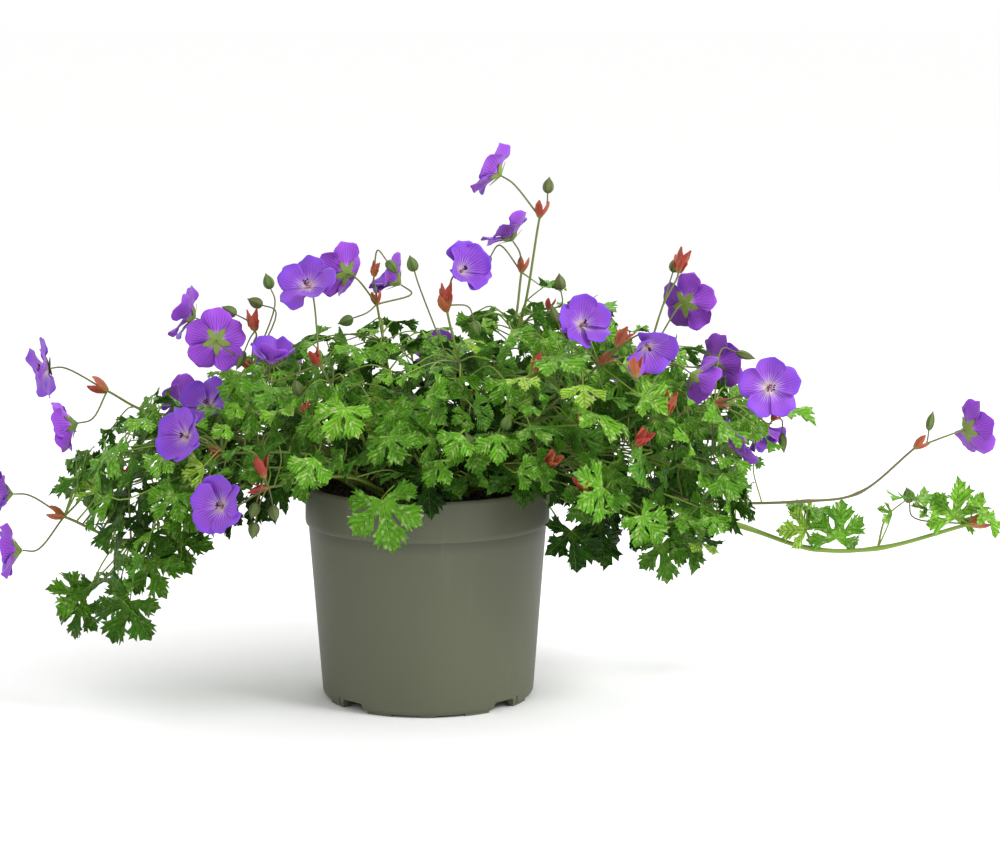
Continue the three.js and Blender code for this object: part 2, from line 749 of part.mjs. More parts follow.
/** The leaves of every tuft: those with a set place, then those that fit clear of all before them. */
function leavesOfTufts(occupied) {
  const tufts = [...TUFTS, CROWN_TUFT].map((tuft) => ({
    tuft,
    start: new THREE.Vector3(...tuft.foot, STEM.start),
    leaves: tuft.leaves.map((leaf) => ({ ...leaf, overRim: true })),
  }));
  const settle = (leaf, { tuft, start }) => {
    const places = [...bladePoints(leaf), ...freeStalk(start, leaf)];
    for (const place of places) occupied.push({ place, owner: tuft.name });
  };
  for (const grown of tufts) grown.leaves.forEach((leaf) => settle(leaf, grown));
  const random = seeded(RANDOM_LEAF.seed);
  const fill = (grown, part, form) => {
    const { tuft, start, leaves } = grown;
    const wanted = leaves.length + part.leaves;
    for (let tried = 0; tried < RANDOM_LEAF.tries && leaves.length < wanted; tried++) {
      const leaf = randomLeaf(part, form, random);
      const blade = bladePoints(leaf);
      const stalk = freeStalk(start, leaf);
      const others = occupied.filter(({ owner }) => owner !== tuft.name);
      const fits = [...blade, ...stalk].every(clearOfPot) && isClear(blade, occupied, CLEAR.blades);
      if (!fits || !isClear(stalk, others, CLEAR.stalks)) continue;
      leaves.push(leaf);
      settle(leaf, grown);
    }
  };
  for (const grown of tufts) fill(grown, grown.tuft.dome, DOME);
  for (const grown of tufts.filter(({ tuft }) => tuft.skirt)) fill(grown, grown.tuft.skirt, SKIRT);
  return tufts;
}

// ---------- Growing the plant ----------

const group = new THREE.Group();

function addMesh(name, solid, material) {
  const mesh = new THREE.Mesh(geometryFrom(solid), material);
  mesh.name = name;
  group.add(mesh);
}

function stemCurve(shoot) {
  return new THREE.CatmullRomCurve3([vector([...shoot.foot, STEM.start]), ...shoot.stem.map(vector)]);
}

/** One flowering stem with all that is fused to it. */
function shootSolid(shoot) {
  const [x, y] = shoot.foot;
  const pieces = [
    post(STEM.radius, SOIL.holeSides, STEM.footBottom, STEM.footTop, x, y),
    tube(stemCurve(shoot), STEM.radius, STEM.sides, 2 * shoot.stem.length + 2),
  ];
  for (const flower of shoot.blooms) {
    const { ahead } = flowerAxes(flower.faces);
    const stalk = stalkCurve(vector(shoot.stem[flower.from]), flower.at, ahead, -SEPAL.thickness / 2);
    pieces.push(tube(stalk, STALK.radius, STALK.sides, STALK.steps), sepalSolid(flower));
  }
  for (const bud of shoot.buds) {
    const stalk = stalkCurve(vector(shoot.stem[bud.from]), bud.at, vector(bud.points).normalize(), 2);
    pieces.push(tube(stalk, STALK.radius, STALK.sides, STALK.steps), budSolid(bud));
  }
  for (const leaf of shoot.leaves) {
    pieces.push(petioleSolid(vector(shoot.stem[leaf.from]), leaf, PETIOLE.stemSteps), leafSolid(leaf));
  }
  return joined(pieces);
}

function tuftSolid({ tuft, start, leaves }) {
  const [x, y] = tuft.foot;
  const pieces = [post(TUFT_FOOT_RADIUS, SOIL.holeSides, STEM.footBottom, STEM.footTop + 1, x, y)];
  for (const leaf of leaves) pieces.push(petioleSolid(start, leaf, PETIOLE.tuftSteps), leafSolid(leaf));
  return joined(pieces);
}

/** The room that the flowering stems take, which the tufts' leaves keep clear of. */
function shootPlaces() {
  const occupied = [];
  for (const shoot of SHOOTS) {
    const keep = (places) => places.forEach((place) => occupied.push({ place, owner: shoot.name + "_stem" }));
    keep(along(stemCurve(shoot), CLEAR.spacing));
    for (const flower of shoot.blooms) {
      const { ahead } = flowerAxes(flower.faces);
      keep(along(stalkCurve(vector(shoot.stem[flower.from]), flower.at, ahead, 0), CLEAR.spacing));
      keep(corollaPoints(flower));
    }
    for (const bud of shoot.buds) {
      const ahead = vector(bud.points).normalize();
      keep(along(stalkCurve(vector(shoot.stem[bud.from]), bud.at, ahead, BUD.length), CLEAR.spacing));
    }
    for (const leaf of shoot.leaves) {
      keep(bladePoints(leaf));
      keep(along(petioleCurve(vector(shoot.stem[leaf.from]), leaf), CLEAR.spacing));
    }
  }
  return occupied;
}

const feet = [
  ...SHOOTS.map(({ foot: [x, y] }) => ({ x, y, radius: STEM.radius })),
  ...[...TUFTS, CROWN_TUFT].map(({ foot: [x, y] }) => ({ x, y, radius: TUFT_FOOT_RADIUS })),
];

addMesh("pot", potSolid(), potPlastic);
addMesh("soil", soilSolid(feet), pottingSoil);
for (const shoot of SHOOTS) {
  addMesh(`stem_${shoot.name}`, shootSolid(shoot), foliage);
  shoot.blooms.forEach((flower, i) => addMesh(`bloom_${shoot.name}_${i + 1}`, corollaSolid(flower), petals));
}
for (const grown of leavesOfTufts(shootPlaces())) {
  addMesh(`leaves_${grown.tuft.name}`, tuftSolid(grown), foliage);
}

export default group;
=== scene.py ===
# %% [markdown]
# # A hardy geranium in its nursery pot
# A trailing geranium grows as a mound of long-stalked leaves. Loose flowering stems run out of the mound,
# fork at red bracts, and carry violet five-petalled flowers. The pot is moulded plastic, filled with dark
# potting mix.
#
# Each piece below stands for one solid of the packed model and keeps its form. The solids give the places,
# and the pieces give cut leaf edges, veins, petals, stamens and grain. Work is in millimetres and becomes
# metres at the end.

# %% Load the frame
import math
from dataclasses import dataclass

import bmesh
import bpy
import numpy as np
from mathutils import Matrix, Vector
from mathutils.geometry import delaunay_2d_cdt


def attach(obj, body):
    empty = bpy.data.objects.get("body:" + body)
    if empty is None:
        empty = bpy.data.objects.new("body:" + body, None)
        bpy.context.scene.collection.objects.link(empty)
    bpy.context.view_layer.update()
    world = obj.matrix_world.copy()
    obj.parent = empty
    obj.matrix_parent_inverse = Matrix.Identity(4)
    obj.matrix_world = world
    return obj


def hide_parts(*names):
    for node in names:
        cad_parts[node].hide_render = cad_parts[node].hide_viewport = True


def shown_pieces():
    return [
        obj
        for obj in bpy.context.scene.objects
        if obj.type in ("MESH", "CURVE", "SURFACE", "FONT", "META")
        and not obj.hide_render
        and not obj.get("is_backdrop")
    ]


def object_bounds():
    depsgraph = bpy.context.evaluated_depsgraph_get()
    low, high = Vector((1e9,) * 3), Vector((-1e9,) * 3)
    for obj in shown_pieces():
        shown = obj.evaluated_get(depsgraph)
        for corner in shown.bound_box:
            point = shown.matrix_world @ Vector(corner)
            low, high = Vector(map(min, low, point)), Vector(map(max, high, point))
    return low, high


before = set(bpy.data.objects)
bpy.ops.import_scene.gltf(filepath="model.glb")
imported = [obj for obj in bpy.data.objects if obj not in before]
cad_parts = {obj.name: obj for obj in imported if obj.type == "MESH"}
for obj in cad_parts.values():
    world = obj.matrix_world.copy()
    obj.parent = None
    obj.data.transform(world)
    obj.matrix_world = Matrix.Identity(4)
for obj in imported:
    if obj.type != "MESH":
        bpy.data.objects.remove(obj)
solid_box = [list(corner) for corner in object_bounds()]
MM = 0.001
print("solids:", len(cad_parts), "box:", [[round(x, 3) for x in corner] for corner in solid_box])

# %% [markdown]
# ## Camera, light and floor
# A plant photographer stands a couple of metres back with a long lens, a little above the pot's rim, so
# that the mound and the pot's side both show. A long lens keeps the near and far leaves in scale. The light
# is a soft box: one large lamp to the right and in front, a weaker one to the left, one behind, and a
# bright plain room.
#
# The standard view keeps strong violets and greens as they are painted, where a film-like view would pale
# them.

# %% Set the camera
CAMERA_BACK, CAMERA_HEIGHT, LENS_LENGTH = 2.111, 0.5435, 99.3
LOOK_DOWN, LOOK_ASIDE = math.radians(9), math.radians(-1.53)
scene = bpy.context.scene
scene.view_settings.view_transform = "Standard"
lens = bpy.data.cameras.new("lens")
lens.sensor_width, lens.lens, lens.clip_end = 36, LENS_LENGTH, 100
camera = bpy.data.objects.new("camera", lens)
camera.location = (0, -CAMERA_BACK, CAMERA_HEIGHT)
camera.rotation_euler = (math.radians(90) - LOOK_DOWN, 0, LOOK_ASIDE)
scene.collection.objects.link(camera)
scene.camera = camera
print("camera stands", round(CAMERA_BACK, 2), "m in front")

# %% Light the room
def soft_box(name, place, aim, size, watts):
    """A square lamp that points at a place."""
    lamp = bpy.data.lights.new(name, "AREA")
    lamp.shape, lamp.size, lamp.energy = "SQUARE", size, watts
    holder = bpy.data.objects.new(name, lamp)
    holder.location = place
    holder.rotation_euler = (Vector(aim) - Vector(place)).to_track_quat("-Z", "Y").to_euler()
    scene.collection.objects.link(holder)


soft_box("key light", (2.0, -1.2, 1.9), (0, 0, 0.22), 1.0, 54)
soft_box("fill light", (-1.9, -1.3, 1.2), (0, 0, 0.22), 1.6, 2)
soft_box("back light", (0.3, 1.6, 1.8), (0, 0, 0.25), 1.2, 10)
room = bpy.data.worlds.new("plain room")
room.use_nodes = True
room.node_tree.nodes["Background"].inputs["Color"].default_value = (1, 1, 1, 1)
room.node_tree.nodes["Background"].inputs["Strength"].default_value = 1.0
scene.world = room

# %% [markdown]
# ## A short way to write node trees
# Materials and Geometry Nodes are both trees of nodes. Adding each node by hand takes many lines, so one
# small class adds any node, and another wraps a node's output so that ordinary arithmetic adds the Math
# nodes.

# %% Wrap sockets and trees
class Socket:
    """A node's output. Arithmetic on it adds Math nodes to its tree."""

    def __init__(self, tree, output):
        self.tree, self.output = tree, output

    def maths(self, operation, *others):
        """This value through a Math node, with others as its further inputs."""
        return self.tree.maths(operation, self, *others)

    def __add__(self, other):
        return self.maths("ADD", other)

    def __sub__(self, other):
        return self.maths("SUBTRACT", other)

    def __rsub__(self, other):
        return self.tree.maths("SUBTRACT", other, self)

    def __mul__(self, other):
        return self.maths("MULTIPLY", other)

    def __truediv__(self, other):
        return self.maths("DIVIDE", other)

    def __pow__(self, other):
        return self.maths("POWER", other)

    def __gt__(self, other):
        return self.maths("GREATER_THAN", other)

    def __abs__(self):
        return self.maths("ABSOLUTE")

    __radd__, __rmul__ = __add__, __mul__


class Tree:
    """A node tree that is being built."""

    def __init__(self, tree):
        self.tree = tree

    def node(self, kind, settings=None, inputs=None, output=0):
        """Adds a node with its settings, then a value or a link for each socket. Gives one output."""
        node = self.tree.nodes.new(kind)
        for name, value in (settings or {}).items():
            setattr(node, name, value)
        for key, value in (inputs or {}).items():
            socket = self.find(node.inputs, key)
            for item in value if isinstance(value, list) else [value]:
                if isinstance(item, Socket):
                    self.tree.links.new(item.output, socket)
                else:
                    socket.default_value = item
        return Socket(self, self.find(node.outputs, output)) if node.outputs else node

    def find(self, sockets, key):
        """A socket by its number, its identifier or its name."""
        if isinstance(key, int):
            return sockets[key]
        return next((socket for socket in sockets if socket.identifier == key), None) or sockets[key]

    def maths(self, operation, *values):
        return self.node("ShaderNodeMath", {"operation": operation}, dict(enumerate(values)))

    def parts(self, vector):
        """The three numbers of a vector."""
        return [self.node("ShaderNodeSeparateXYZ", inputs={0: vector}, output=axis) for axis in range(3)]


print("sockets know sums, products, powers and comparisons")

# %% [markdown]
# ## Finishes
# A finish is a Principled shader with a few procedural patterns. Each pattern runs on Object coordinates,
# which don't move when the camera does, or on marks that a blade carries: where a point lies on it and on
# which face. Marks let veins follow each leaf and petal, however it is turned.

# %% Helpers for finishes
def linear(screen):
    """Red, green and blue as a screen has them, 0 to 255, as the linear light that shaders use."""
    shares = [value / 255 for value in screen]
    return (*[((share + 0.055) / 1.055) ** 2.4 if share > 0.04 else share / 12.92 for share in shares], 1)


class Finish(Tree):
    """A material that is being built."""

    def __init__(self, name):
        self.material = bpy.data.materials.new(name)
        self.material.use_nodes = True
        self.material.node_tree.nodes.clear()
        super().__init__(self.material.node_tree)

    def mark(self, name, output="Fac"):
        """What the mesh carries under this name."""
        return self.node("ShaderNodeAttribute", {"attribute_name": name}, output=output)

    def noise(self, scale, detail=3, stretch=(1, 1, 1)):
        """Soft random clouds that are fixed to the object."""
        place = self.node("ShaderNodeTexCoord", output="Object")
        place = self.node("ShaderNodeMapping", inputs={"Vector": place, "Scale": stretch})
        return self.node("ShaderNodeTexNoise", inputs={"Vector": place, "Scale": scale, "Detail": detail})

    def rise(self, value, low, high):
        """A soft step from 0 to 1 as the value goes from low to high."""
        sockets = {"Value": value, "From Min": low, "From Max": high}
        return self.node("ShaderNodeMapRange", {"interpolation_type": "SMOOTHSTEP"}, sockets)

    def fall(self, value, low, high):
        """A soft step from 1 to 0."""
        return 1 - self.rise(value, low, high)

    def blend(self, share, first, second, way="MIX"):
        """One colour over another. Each is a socket, or red, green and blue from 0 to 255."""
        first, second = (linear(item) if isinstance(item, tuple) else item for item in (first, second))
        settings = {"data_type": "RGBA", "blend_type": way}
        sockets = {"Factor": share, "A_Color": first, "B_Color": second}
        return self.node("ShaderNodeMix", settings, sockets, "Result_Color")

    def coats(self, base, *coats):
        """Coats of colour over a base, one after another, each with the share that covers."""
        for share, coat in coats:
            base = self.blend(share, base, coat)
        return base

    def bump(self, height, depth, strength=1.0):
        """A surface relief of this depth in metres."""
        sockets = {"Height": height, "Distance": depth, "Strength": strength}
        return self.node("ShaderNodeBump", inputs=sockets)

    def surface(self, **sockets):
        """Ends the material with a Principled shader."""
        named = {name.replace("_", " "): value for name, value in sockets.items()}
        shader = self.node("ShaderNodeBsdfPrincipled", inputs=named)
        self.node("ShaderNodeOutputMaterial", inputs={"Surface": shader})
        return self.material


print("a mid grey in linear light:", round(linear((128, 128, 128))[0], 3))

# %% [markdown]
# ### Moulded plastic
# Nursery pots are pressed from recycled polypropylene with some filler. The skin is satin, with a very fine
# grain from the mould, faint cloudy flow marks, and dusty scuffs where pots rub when they are stacked.
# Noise at three sizes gives these, and the scuffs also raise the roughness. Just below the rim band the
# plastic is painted darker: painted shade for the shadow that the band's ledge casts on the wall.

# %% Pot plastic
plastic = Finish("pot plastic")
cloud = plastic.noise(9, 4, (1, 1, 0.35))
scuff = plastic.rise(plastic.noise(60, 6, (1, 1, 0.12)), 0.6, 0.82)
height = plastic.parts(plastic.node("ShaderNodeTexCoord", output="Object"))[2]
# painted shade: a darker strip just under the rim band, where the band's ledge shades the wall
painted_shade_below_band = plastic.rise(height, 0.126, 0.1366) * plastic.fall(height, 0.1366, 0.1376)
pot_plastic = plastic.surface(
    Base_Color=plastic.coats(
        plastic.blend(cloud, (77, 79, 60), (89, 91, 70)),
        # painted shade below the rim band
        (painted_shade_below_band * 0.5, (52, 53, 40)),
        (scuff * 0.35, (112, 112, 99)),
    ),
    Roughness=0.5 + scuff * 0.14 + cloud * 0.06,
    Normal=plastic.bump(plastic.noise(1500, 2), 0.00012, 0.35),
)
print("finish:", pot_plastic.name)

# %% [markdown]
# ### Potting mix
# Potting mix is peat, composted bark and a little sand. It is nearly black when it is moist, with
# rust-brown fibres and a few pale grains. Coarse noise gives damp and dry patches, and fine noise the
# fibres.

# %% Potting soil
mix = Finish("potting soil")
fibre = mix.rise(mix.noise(420, 6, (1, 2.5, 1)), 0.5, 0.72)
speck = mix.rise(mix.noise(900, 2), 0.68, 0.74)
soil_finish = mix.surface(
    Base_Color=mix.coats(
        mix.blend(mix.noise(70, 5), (26, 19, 14), (62, 45, 32)),
        (fibre * 0.6, (96, 68, 44)),
        (speck * 0.7, (150, 134, 110)),
    ),
    Roughness=0.82 + fibre * 0.15,
    Normal=mix.bump(mix.noise(600, 8), 0.0012, 0.9),
)
print("finish:", soil_finish.name)

# %% [markdown]
# ### Leaf
# A geranium leaf is bright green, a little glossy, and puckered between its veins. Five main veins fan from
# the stalk's end, one for each lobe, and side veins leave them at a slant. The finish folds the blade's own
# coordinates into one lobe and draws both kinds of vein there as soft lines. Each leaf also carries a tint
# from dark to light, partly random tone and partly painted shade: leaves deep in the mound or low down are
# painted darker, and those far out or high lighter. Young ones are lime, and light ones get painted
# highlights, pale patches on their puckers. The underside is paler and dull.

# %% Leaf green
LOBE_STEP = math.radians(53)
green = Finish("leaf green")
across, forward, under = green.parts(green.mark("blade", "Vector"))
tint = green.mark("tint")
turn = across.maths("ARCTAN2", forward)
swing = turn - (turn / LOBE_STEP).maths("ROUND") * LOBE_STEP
reach = (across * across + forward * forward) ** 0.5
off_vein = abs(reach * swing.maths("SINE"))
up_vein = reach * swing.maths("COSINE")
main_vein = green.fall(off_vein, 0.004, 0.018)
slant = ((up_vein - off_vein * 1.25) / 0.15).maths("FRACT")
side_vein = green.fall(abs(slant - 0.5), 0.02, 0.2) * green.rise(up_vein, 0.12, 0.3)
pucker = green.noise(260, 3)
plain_green = green.coats(
    # the tint runs from dark to light green; it is partly painted shade, set by the leaf's place in the
    # mound
    green.blend(tint, (2, 32, 0), (112, 184, 36)),
    (green.rise(green.noise(75, 3), 0.35, 0.7) * 0.4, (46, 108, 4)),
    (green.rise(tint, 0.8, 1.0) * 0.6, (164, 188, 66)),
)
top = green.coats(
    green.blend(green.rise(reach, 0.7, 1.05) * 0.4, plain_green, (18, 70, 16), "MULTIPLY"),
    # painted highlight: pale patches on the puckers, strongest on light leaves
    (green.rise(pucker, 0.48, 0.7) * (0.03 + tint * 0.56), (206, 218, 150)),
    (side_vein * (0.1 + tint * 0.2), (132, 186, 78)),
    (main_vein * (0.18 + tint * 0.25), (160, 202, 98)),
    (green.fall(reach, 0.03, 0.3) * 0.14, (140, 186, 60)),
)
leaf_finish = green.surface(
    Base_Color=green.blend(under, top, green.blend(0.15 + tint * 0.5, top, (80, 132, 54))),
    Roughness=0.3 + under * 0.3 + pucker * 0.16,
    Normal=green.bump(pucker * 1.1 - side_vein * 0.6 - main_vein * 0.7, 0.0018, 1.0),
    Specular_IOR_Level=0.1,
)
print("finish:", leaf_finish.name, "with", len(green.tree.nodes), "nodes")

# %% [markdown]
# ### Stalks
# Leaf stalks are pale green. Flower stalks turn brown and red in the sun, most of all near the forks. Each
# stalk carries a blush from 0 to 1 along its length, and short flecks of noise break the change up.

# %% Stalk skin
skin = Finish("stalk skin")
fleck = skin.noise(500, 3, (1, 1, 0.3))
blush = skin.rise(skin.mark("tint") + (fleck - 0.5) * 0.5, 0.0, 1.0)
stalk_finish = skin.surface(
    Base_Color=skin.coats(skin.blend(blush, (116, 148, 40), (80, 58, 46)), (fleck * 0.3, (132, 142, 76))),
    Roughness=0.5 + fleck * 0.15,
    Normal=skin.bump(fleck, 0.0002, 0.6),
)
print("finish:", stalk_finish.name)

# %% [markdown]
# ### Petals
# The face of a petal is blue violet, near white at the claw, with dark veins that fan out and fork. The
# back is more magenta, with stronger veins. The veins are soft lines at even steps across the petal, and
# halfway out the steps halve, as where veins fork. A little noise bends them.

# %% Petal violet
violet = Finish("petal violet")
aside, outward, back = violet.parts(violet.mark("blade", "Vector"))
wobble = (violet.noise(120, 3) - 0.5) * 0.16


def vein_lines(steps, soft):
    """Lines at even steps across a petal."""
    place = (aside + wobble) * steps + 0.5
    return violet.fall(abs(place.maths("FRACT") - 0.5), 0.0, soft)


forked = violet.rise(outward, 0.35, 0.55)
inner_veins = vein_lines(2.5, 0.12) * violet.rise(outward, 0.08, 0.2) * violet.fall(outward, 0.5, 0.9)
outer_veins = vein_lines(5, 0.2) * forked * violet.fall(outward, 0.6, 0.95)
veins = inner_veins.maths("MAXIMUM", outer_veins)
shade = violet.noise(45, 3)
throat = violet.fall(outward + abs(aside) * 0.1 + vein_lines(4, 0.5) * 0.22, 0.12, 0.6)
face = violet.coats(
    violet.blend(shade, (106, 50, 182), (156, 82, 204)),
    (violet.rise(outward, 0.6, 1.0) * 0.45, (94, 44, 200)),
    (throat * 0.8, (222, 200, 226)),
    (violet.fall(outward, 0.1, 0.22) * 0.5, (206, 200, 130)),
    (veins * 0.7, (84, 20, 128)),
)
reverse = violet.coats(
    violet.blend(shade, (130, 52, 190), (156, 76, 206)),
    (violet.fall(outward, 0.06, 0.36) * 0.75, (222, 190, 208)),
    (veins * 0.8, (68, 12, 100)),
)
petal_finish = violet.surface(
    Base_Color=violet.blend(back, face, reverse),
    Roughness=0.5 + shade * 0.1,
    Normal=violet.bump(veins * -0.6 + violet.noise(700, 2) * 0.3, 0.0003, 0.7),
    Sheen_Weight=0.15,
    Specular_IOR_Level=0.3,
)
print("finish:", petal_finish.name, "with", len(violet.tree.nodes), "nodes")

# %% [markdown]
# ### Stamens, calyx and bracts
# The stamens have pale pink threads and near black anthers, told apart by the mark on them. Sepals and buds
# are green and ribbed with a brown point. Bracts are brick red, greener at the foot.

# %% Stamen, calyx and bract finishes
thread = Finish("stamen")
stamen_finish = thread.surface(
    Base_Color=thread.blend(thread.mark("tint"), (214, 150, 200), (44, 22, 66)),
    Roughness=0.6 + thread.noise(1500, 2) * 0.2,
)

calyx = Finish("calyx green")
from_side, from_foot, _ = calyx.parts(calyx.mark("blade", "Vector"))
rib = calyx.fall(abs((from_side * 2.5 + 0.5).maths("FRACT") - 0.5), 0.0, 0.3)
calyx_finish = calyx.surface(
    Base_Color=calyx.coats(
        calyx.blend(calyx.noise(160, 3), (56, 88, 28), (104, 132, 46)),
        (calyx.rise(0 - calyx.mark("tint"), 0.0, 1.0) * 0.7, (150, 176, 74)),
        (rib * 0.6, (34, 54, 20)),
        (calyx.rise(from_foot, 0.78, 1.0) * 0.8, (120, 70, 50)),
        (calyx.mark("tint") * 0.4, (88, 62, 48)),
    ),
    Roughness=0.55 + calyx.noise(800, 2) * 0.15,
    Normal=calyx.bump(rib, 0.0003, 0.7),
)

brick = Finish("bract red")
from_middle, from_base, rear = brick.parts(brick.mark("blade", "Vector"))
stripe = brick.fall(abs(from_middle), 0.0, 0.25)
worn = brick.mark("tint") * brick.rise(brick.noise(140, 3), 0.3, 0.6)
bract_finish = brick.surface(
    Base_Color=brick.coats(
        brick.blend(brick.noise(220, 4), (132, 34, 34), (200, 74, 60)),
        (worn * 0.7, (164, 110, 52)),
        (brick.fall(from_base, 0.0, 0.35) * 0.7, (142, 140, 70)),
        (stripe * 0.5, (128, 30, 30)),
    ),
    Roughness=0.55 + rear * 0.1,
    Normal=brick.bump(brick.noise(500, 3) - stripe * 0.5, 0.0003, 0.6),
)
print("finishes:", [material.name for material in bpy.data.materials if material.users == 0])

# %% [markdown]
# ## Floor
# The floor is only a stage: a large white sheet with a trace of unevenness, on which soft shadows show.

# %% Lay the floor
FLOOR_REACH = 40


def shown(name, mesh):
    """A new object that shows this mesh at the origin."""
    piece = bpy.data.objects.new(name, mesh)
    scene.collection.objects.link(piece)
    return piece


board = Finish("pale floor")
paint = board.blend(board.noise(3, 2), (254, 254, 253), (255, 255, 255))
floor_mesh = bpy.data.meshes.new("floor")
floor_corners = [(x * FLOOR_REACH, y * FLOOR_REACH, 0) for x, y in ((-1, -1), (1, -1), (1, 1), (-1, 1))]
floor_mesh.from_pydata(floor_corners, [], [(0, 1, 2, 3)])
floor_mesh.materials.append(board.surface(Base_Color=paint, Roughness=0.85 + board.noise(9) * 0.1))
floor = shown("floor", floor_mesh)
floor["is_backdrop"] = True
print("floor is", 2 * FLOOR_REACH, "m across, so that its far edge is out of sight")

# %% [markdown]
# ## The pot
# A nursery pot is a thin shell that is moulded in one shot. Its wall flares from a foot ring to a rim band,
# with a small step below the band. The foot ring stands on low pads and has four notches and some slits for
# drainage. A profile that is turned round an axis gives the shell, as a lathe does. Every corner of the
# profile is softened first, because moulded plastic has no knife edges. Booleans then cut what isn't round.

# %% Pot sizes
POT_HEIGHT, BAND_HEIGHT, WALL = 168.8, 31.6, 1.9
RIM_RADIUS, SHOULDER_RADIUS, FOOT_RADIUS = 95, 92.6, 82.7
FLOOR_BOTTOM, FLOOR_TOP, PAD_HEIGHT, FOOT_WIDTH = 8.5, 10.6, 1.5, 8
STEP_HEIGHT = POT_HEIGHT - BAND_HEIGHT
POT_SIDES = 160
POT_PROFILE = [
    # radius, height, softness
    (0, 0, 0),
    (14, 0, 0.8),
    (14, FLOOR_BOTTOM, 0.5),
    (FOOT_RADIUS - FOOT_WIDTH, FLOOR_BOTTOM, 0.6),
    (FOOT_RADIUS - FOOT_WIDTH + 1, PAD_HEIGHT, 0.5),
    (FOOT_RADIUS - 2.4, PAD_HEIGHT, 1.2),
    (FOOT_RADIUS - 0.2, PAD_HEIGHT + 2.8, 1.6),
    (SHOULDER_RADIUS, STEP_HEIGHT, 0.5),
    (RIM_RADIUS - 0.5, STEP_HEIGHT + 0.3, 0.5),
    (RIM_RADIUS, STEP_HEIGHT + 3, 1.2),
    (RIM_RADIUS - 0.4, POT_HEIGHT - 2, 0.8),
    (RIM_RADIUS - 1.2, POT_HEIGHT, 0.4),
    (RIM_RADIUS - 0.4 - WALL, POT_HEIGHT, 0.5),
    (RIM_RADIUS - 0.4 - WALL, STEP_HEIGHT + 3, 1.0),
    (SHOULDER_RADIUS - WALL, STEP_HEIGHT - 1, 0.8),
    (FOOT_RADIUS + 0.8 - WALL, FLOOR_TOP, 1.5),
    (0, FLOOR_TOP, 0),
]
print("pot:", 2 * RIM_RADIUS, "mm wide,", POT_HEIGHT, "mm high")

# %% Turn the shell
def softened(profile, steps=4):
    """The profile with each corner swapped for a short curve of the given softness."""
    outline = []
    for i, (radius, height, softness) in enumerate(profile):
        corner = np.array([radius, height], float)
        if softness == 0:
            outline.append(corner)
            continue
        ends = []
        for other in (profile[i - 1], profile[i + 1]):
            side = np.array(other[:2], float) - corner
            ends.append(corner + side * min(softness / np.linalg.norm(side), 0.45))
        for t in np.linspace(0, 1, steps + 1):
            outline.append((1 - t) ** 2 * ends[0] + 2 * t * (1 - t) * corner + t**2 * ends[1])
    return outline


def loft(form, rings):
    """Adds a closed tube from rings of places, where one place alone makes a pole. Gives the corners."""
    sides = max(len(ring) for ring in rings)
    rings = [[form.verts.new(place) for place in ring] for ring in rings]
    corners = [corner for ring in rings for corner in ring]
    rings = [ring * sides if len(ring) == 1 else ring for ring in rings]
    for low, high in zip(rings, rings[1:]):
        for side in range(sides):
            after = (side + 1) % sides
            form.faces.new(list(dict.fromkeys([low[side], low[after], high[after], high[side]])))
    for end in (rings[0][::-1], rings[-1]):
        if end[0] != end[1]:
            form.faces.new(end)
    return corners


def mesh_of(form, name, turn_outwards=True):
    """What was built in a form, as a mesh whose faces are turned to point outwards. The form goes away."""
    if turn_outwards:
        bmesh.ops.recalc_face_normals(form, faces=form.faces)
    mesh = bpy.data.meshes.new(name)
    form.to_mesh(mesh)
    form.free()
    return mesh


def around(radius, height, angle):
    """A place in metres round the Z axis."""
    return radius * MM * math.cos(angle), radius * MM * math.sin(angle), height * MM


def turned(name, outline, sides):
    """A closed solid of revolution from [radius, height] pairs that start and end on the axis."""
    angles = [2 * math.pi * (side + 0.5) / sides for side in range(sides)]
    form = bmesh.new()
    loft(form, [[around(*point, angle) for angle in (angles if point[0] > 0 else [0])] for point in outline])
    return mesh_of(form, name)


shell = turned("pot shell", softened(POT_PROFILE), POT_SIDES)
print("shell faces:", len(shell.polygons))

# %% Cut the notches, slits and drain holes
NOTCH = [(-13, -1), (13, -1), (10.2, 6.4), (9.2, 7.6), (8.4, 7.8), (-8.4, 7.8), (-9.2, 7.6), (-10.2, 6.4)]
SLIT = [(15.2, 1.9), (16.4, 1.9), (15.6, 8.6), (14.6, 8.6)]
HOLE = [(6 * math.cos(math.radians(20 * i)), 6 * math.sin(math.radians(20 * i))) for i in range(18)]
HOLE_PLACE, HOLE_LOW, HOLE_HIGH = 52, 5, 14


def slab(form, outline, near, far, degrees):
    """An upright slab: an outline across the radius, carried from one radius to another."""
    turn = Matrix.Rotation(math.radians(degrees), 3, "Z")
    loft(form, [[turn @ Vector((radius, *place)) * MM for place in outline] for radius in (near, far)])


def plain(source):
    """What an object's modifiers make of it, as a plain mesh. The object itself goes away."""
    depsgraph = bpy.context.evaluated_depsgraph_get()
    made = source.evaluated_get(depsgraph)
    mesh = bpy.data.meshes.new_from_object(made, preserve_all_data_layers=True, depsgraph=depsgraph)
    bpy.data.objects.remove(source)
    return mesh


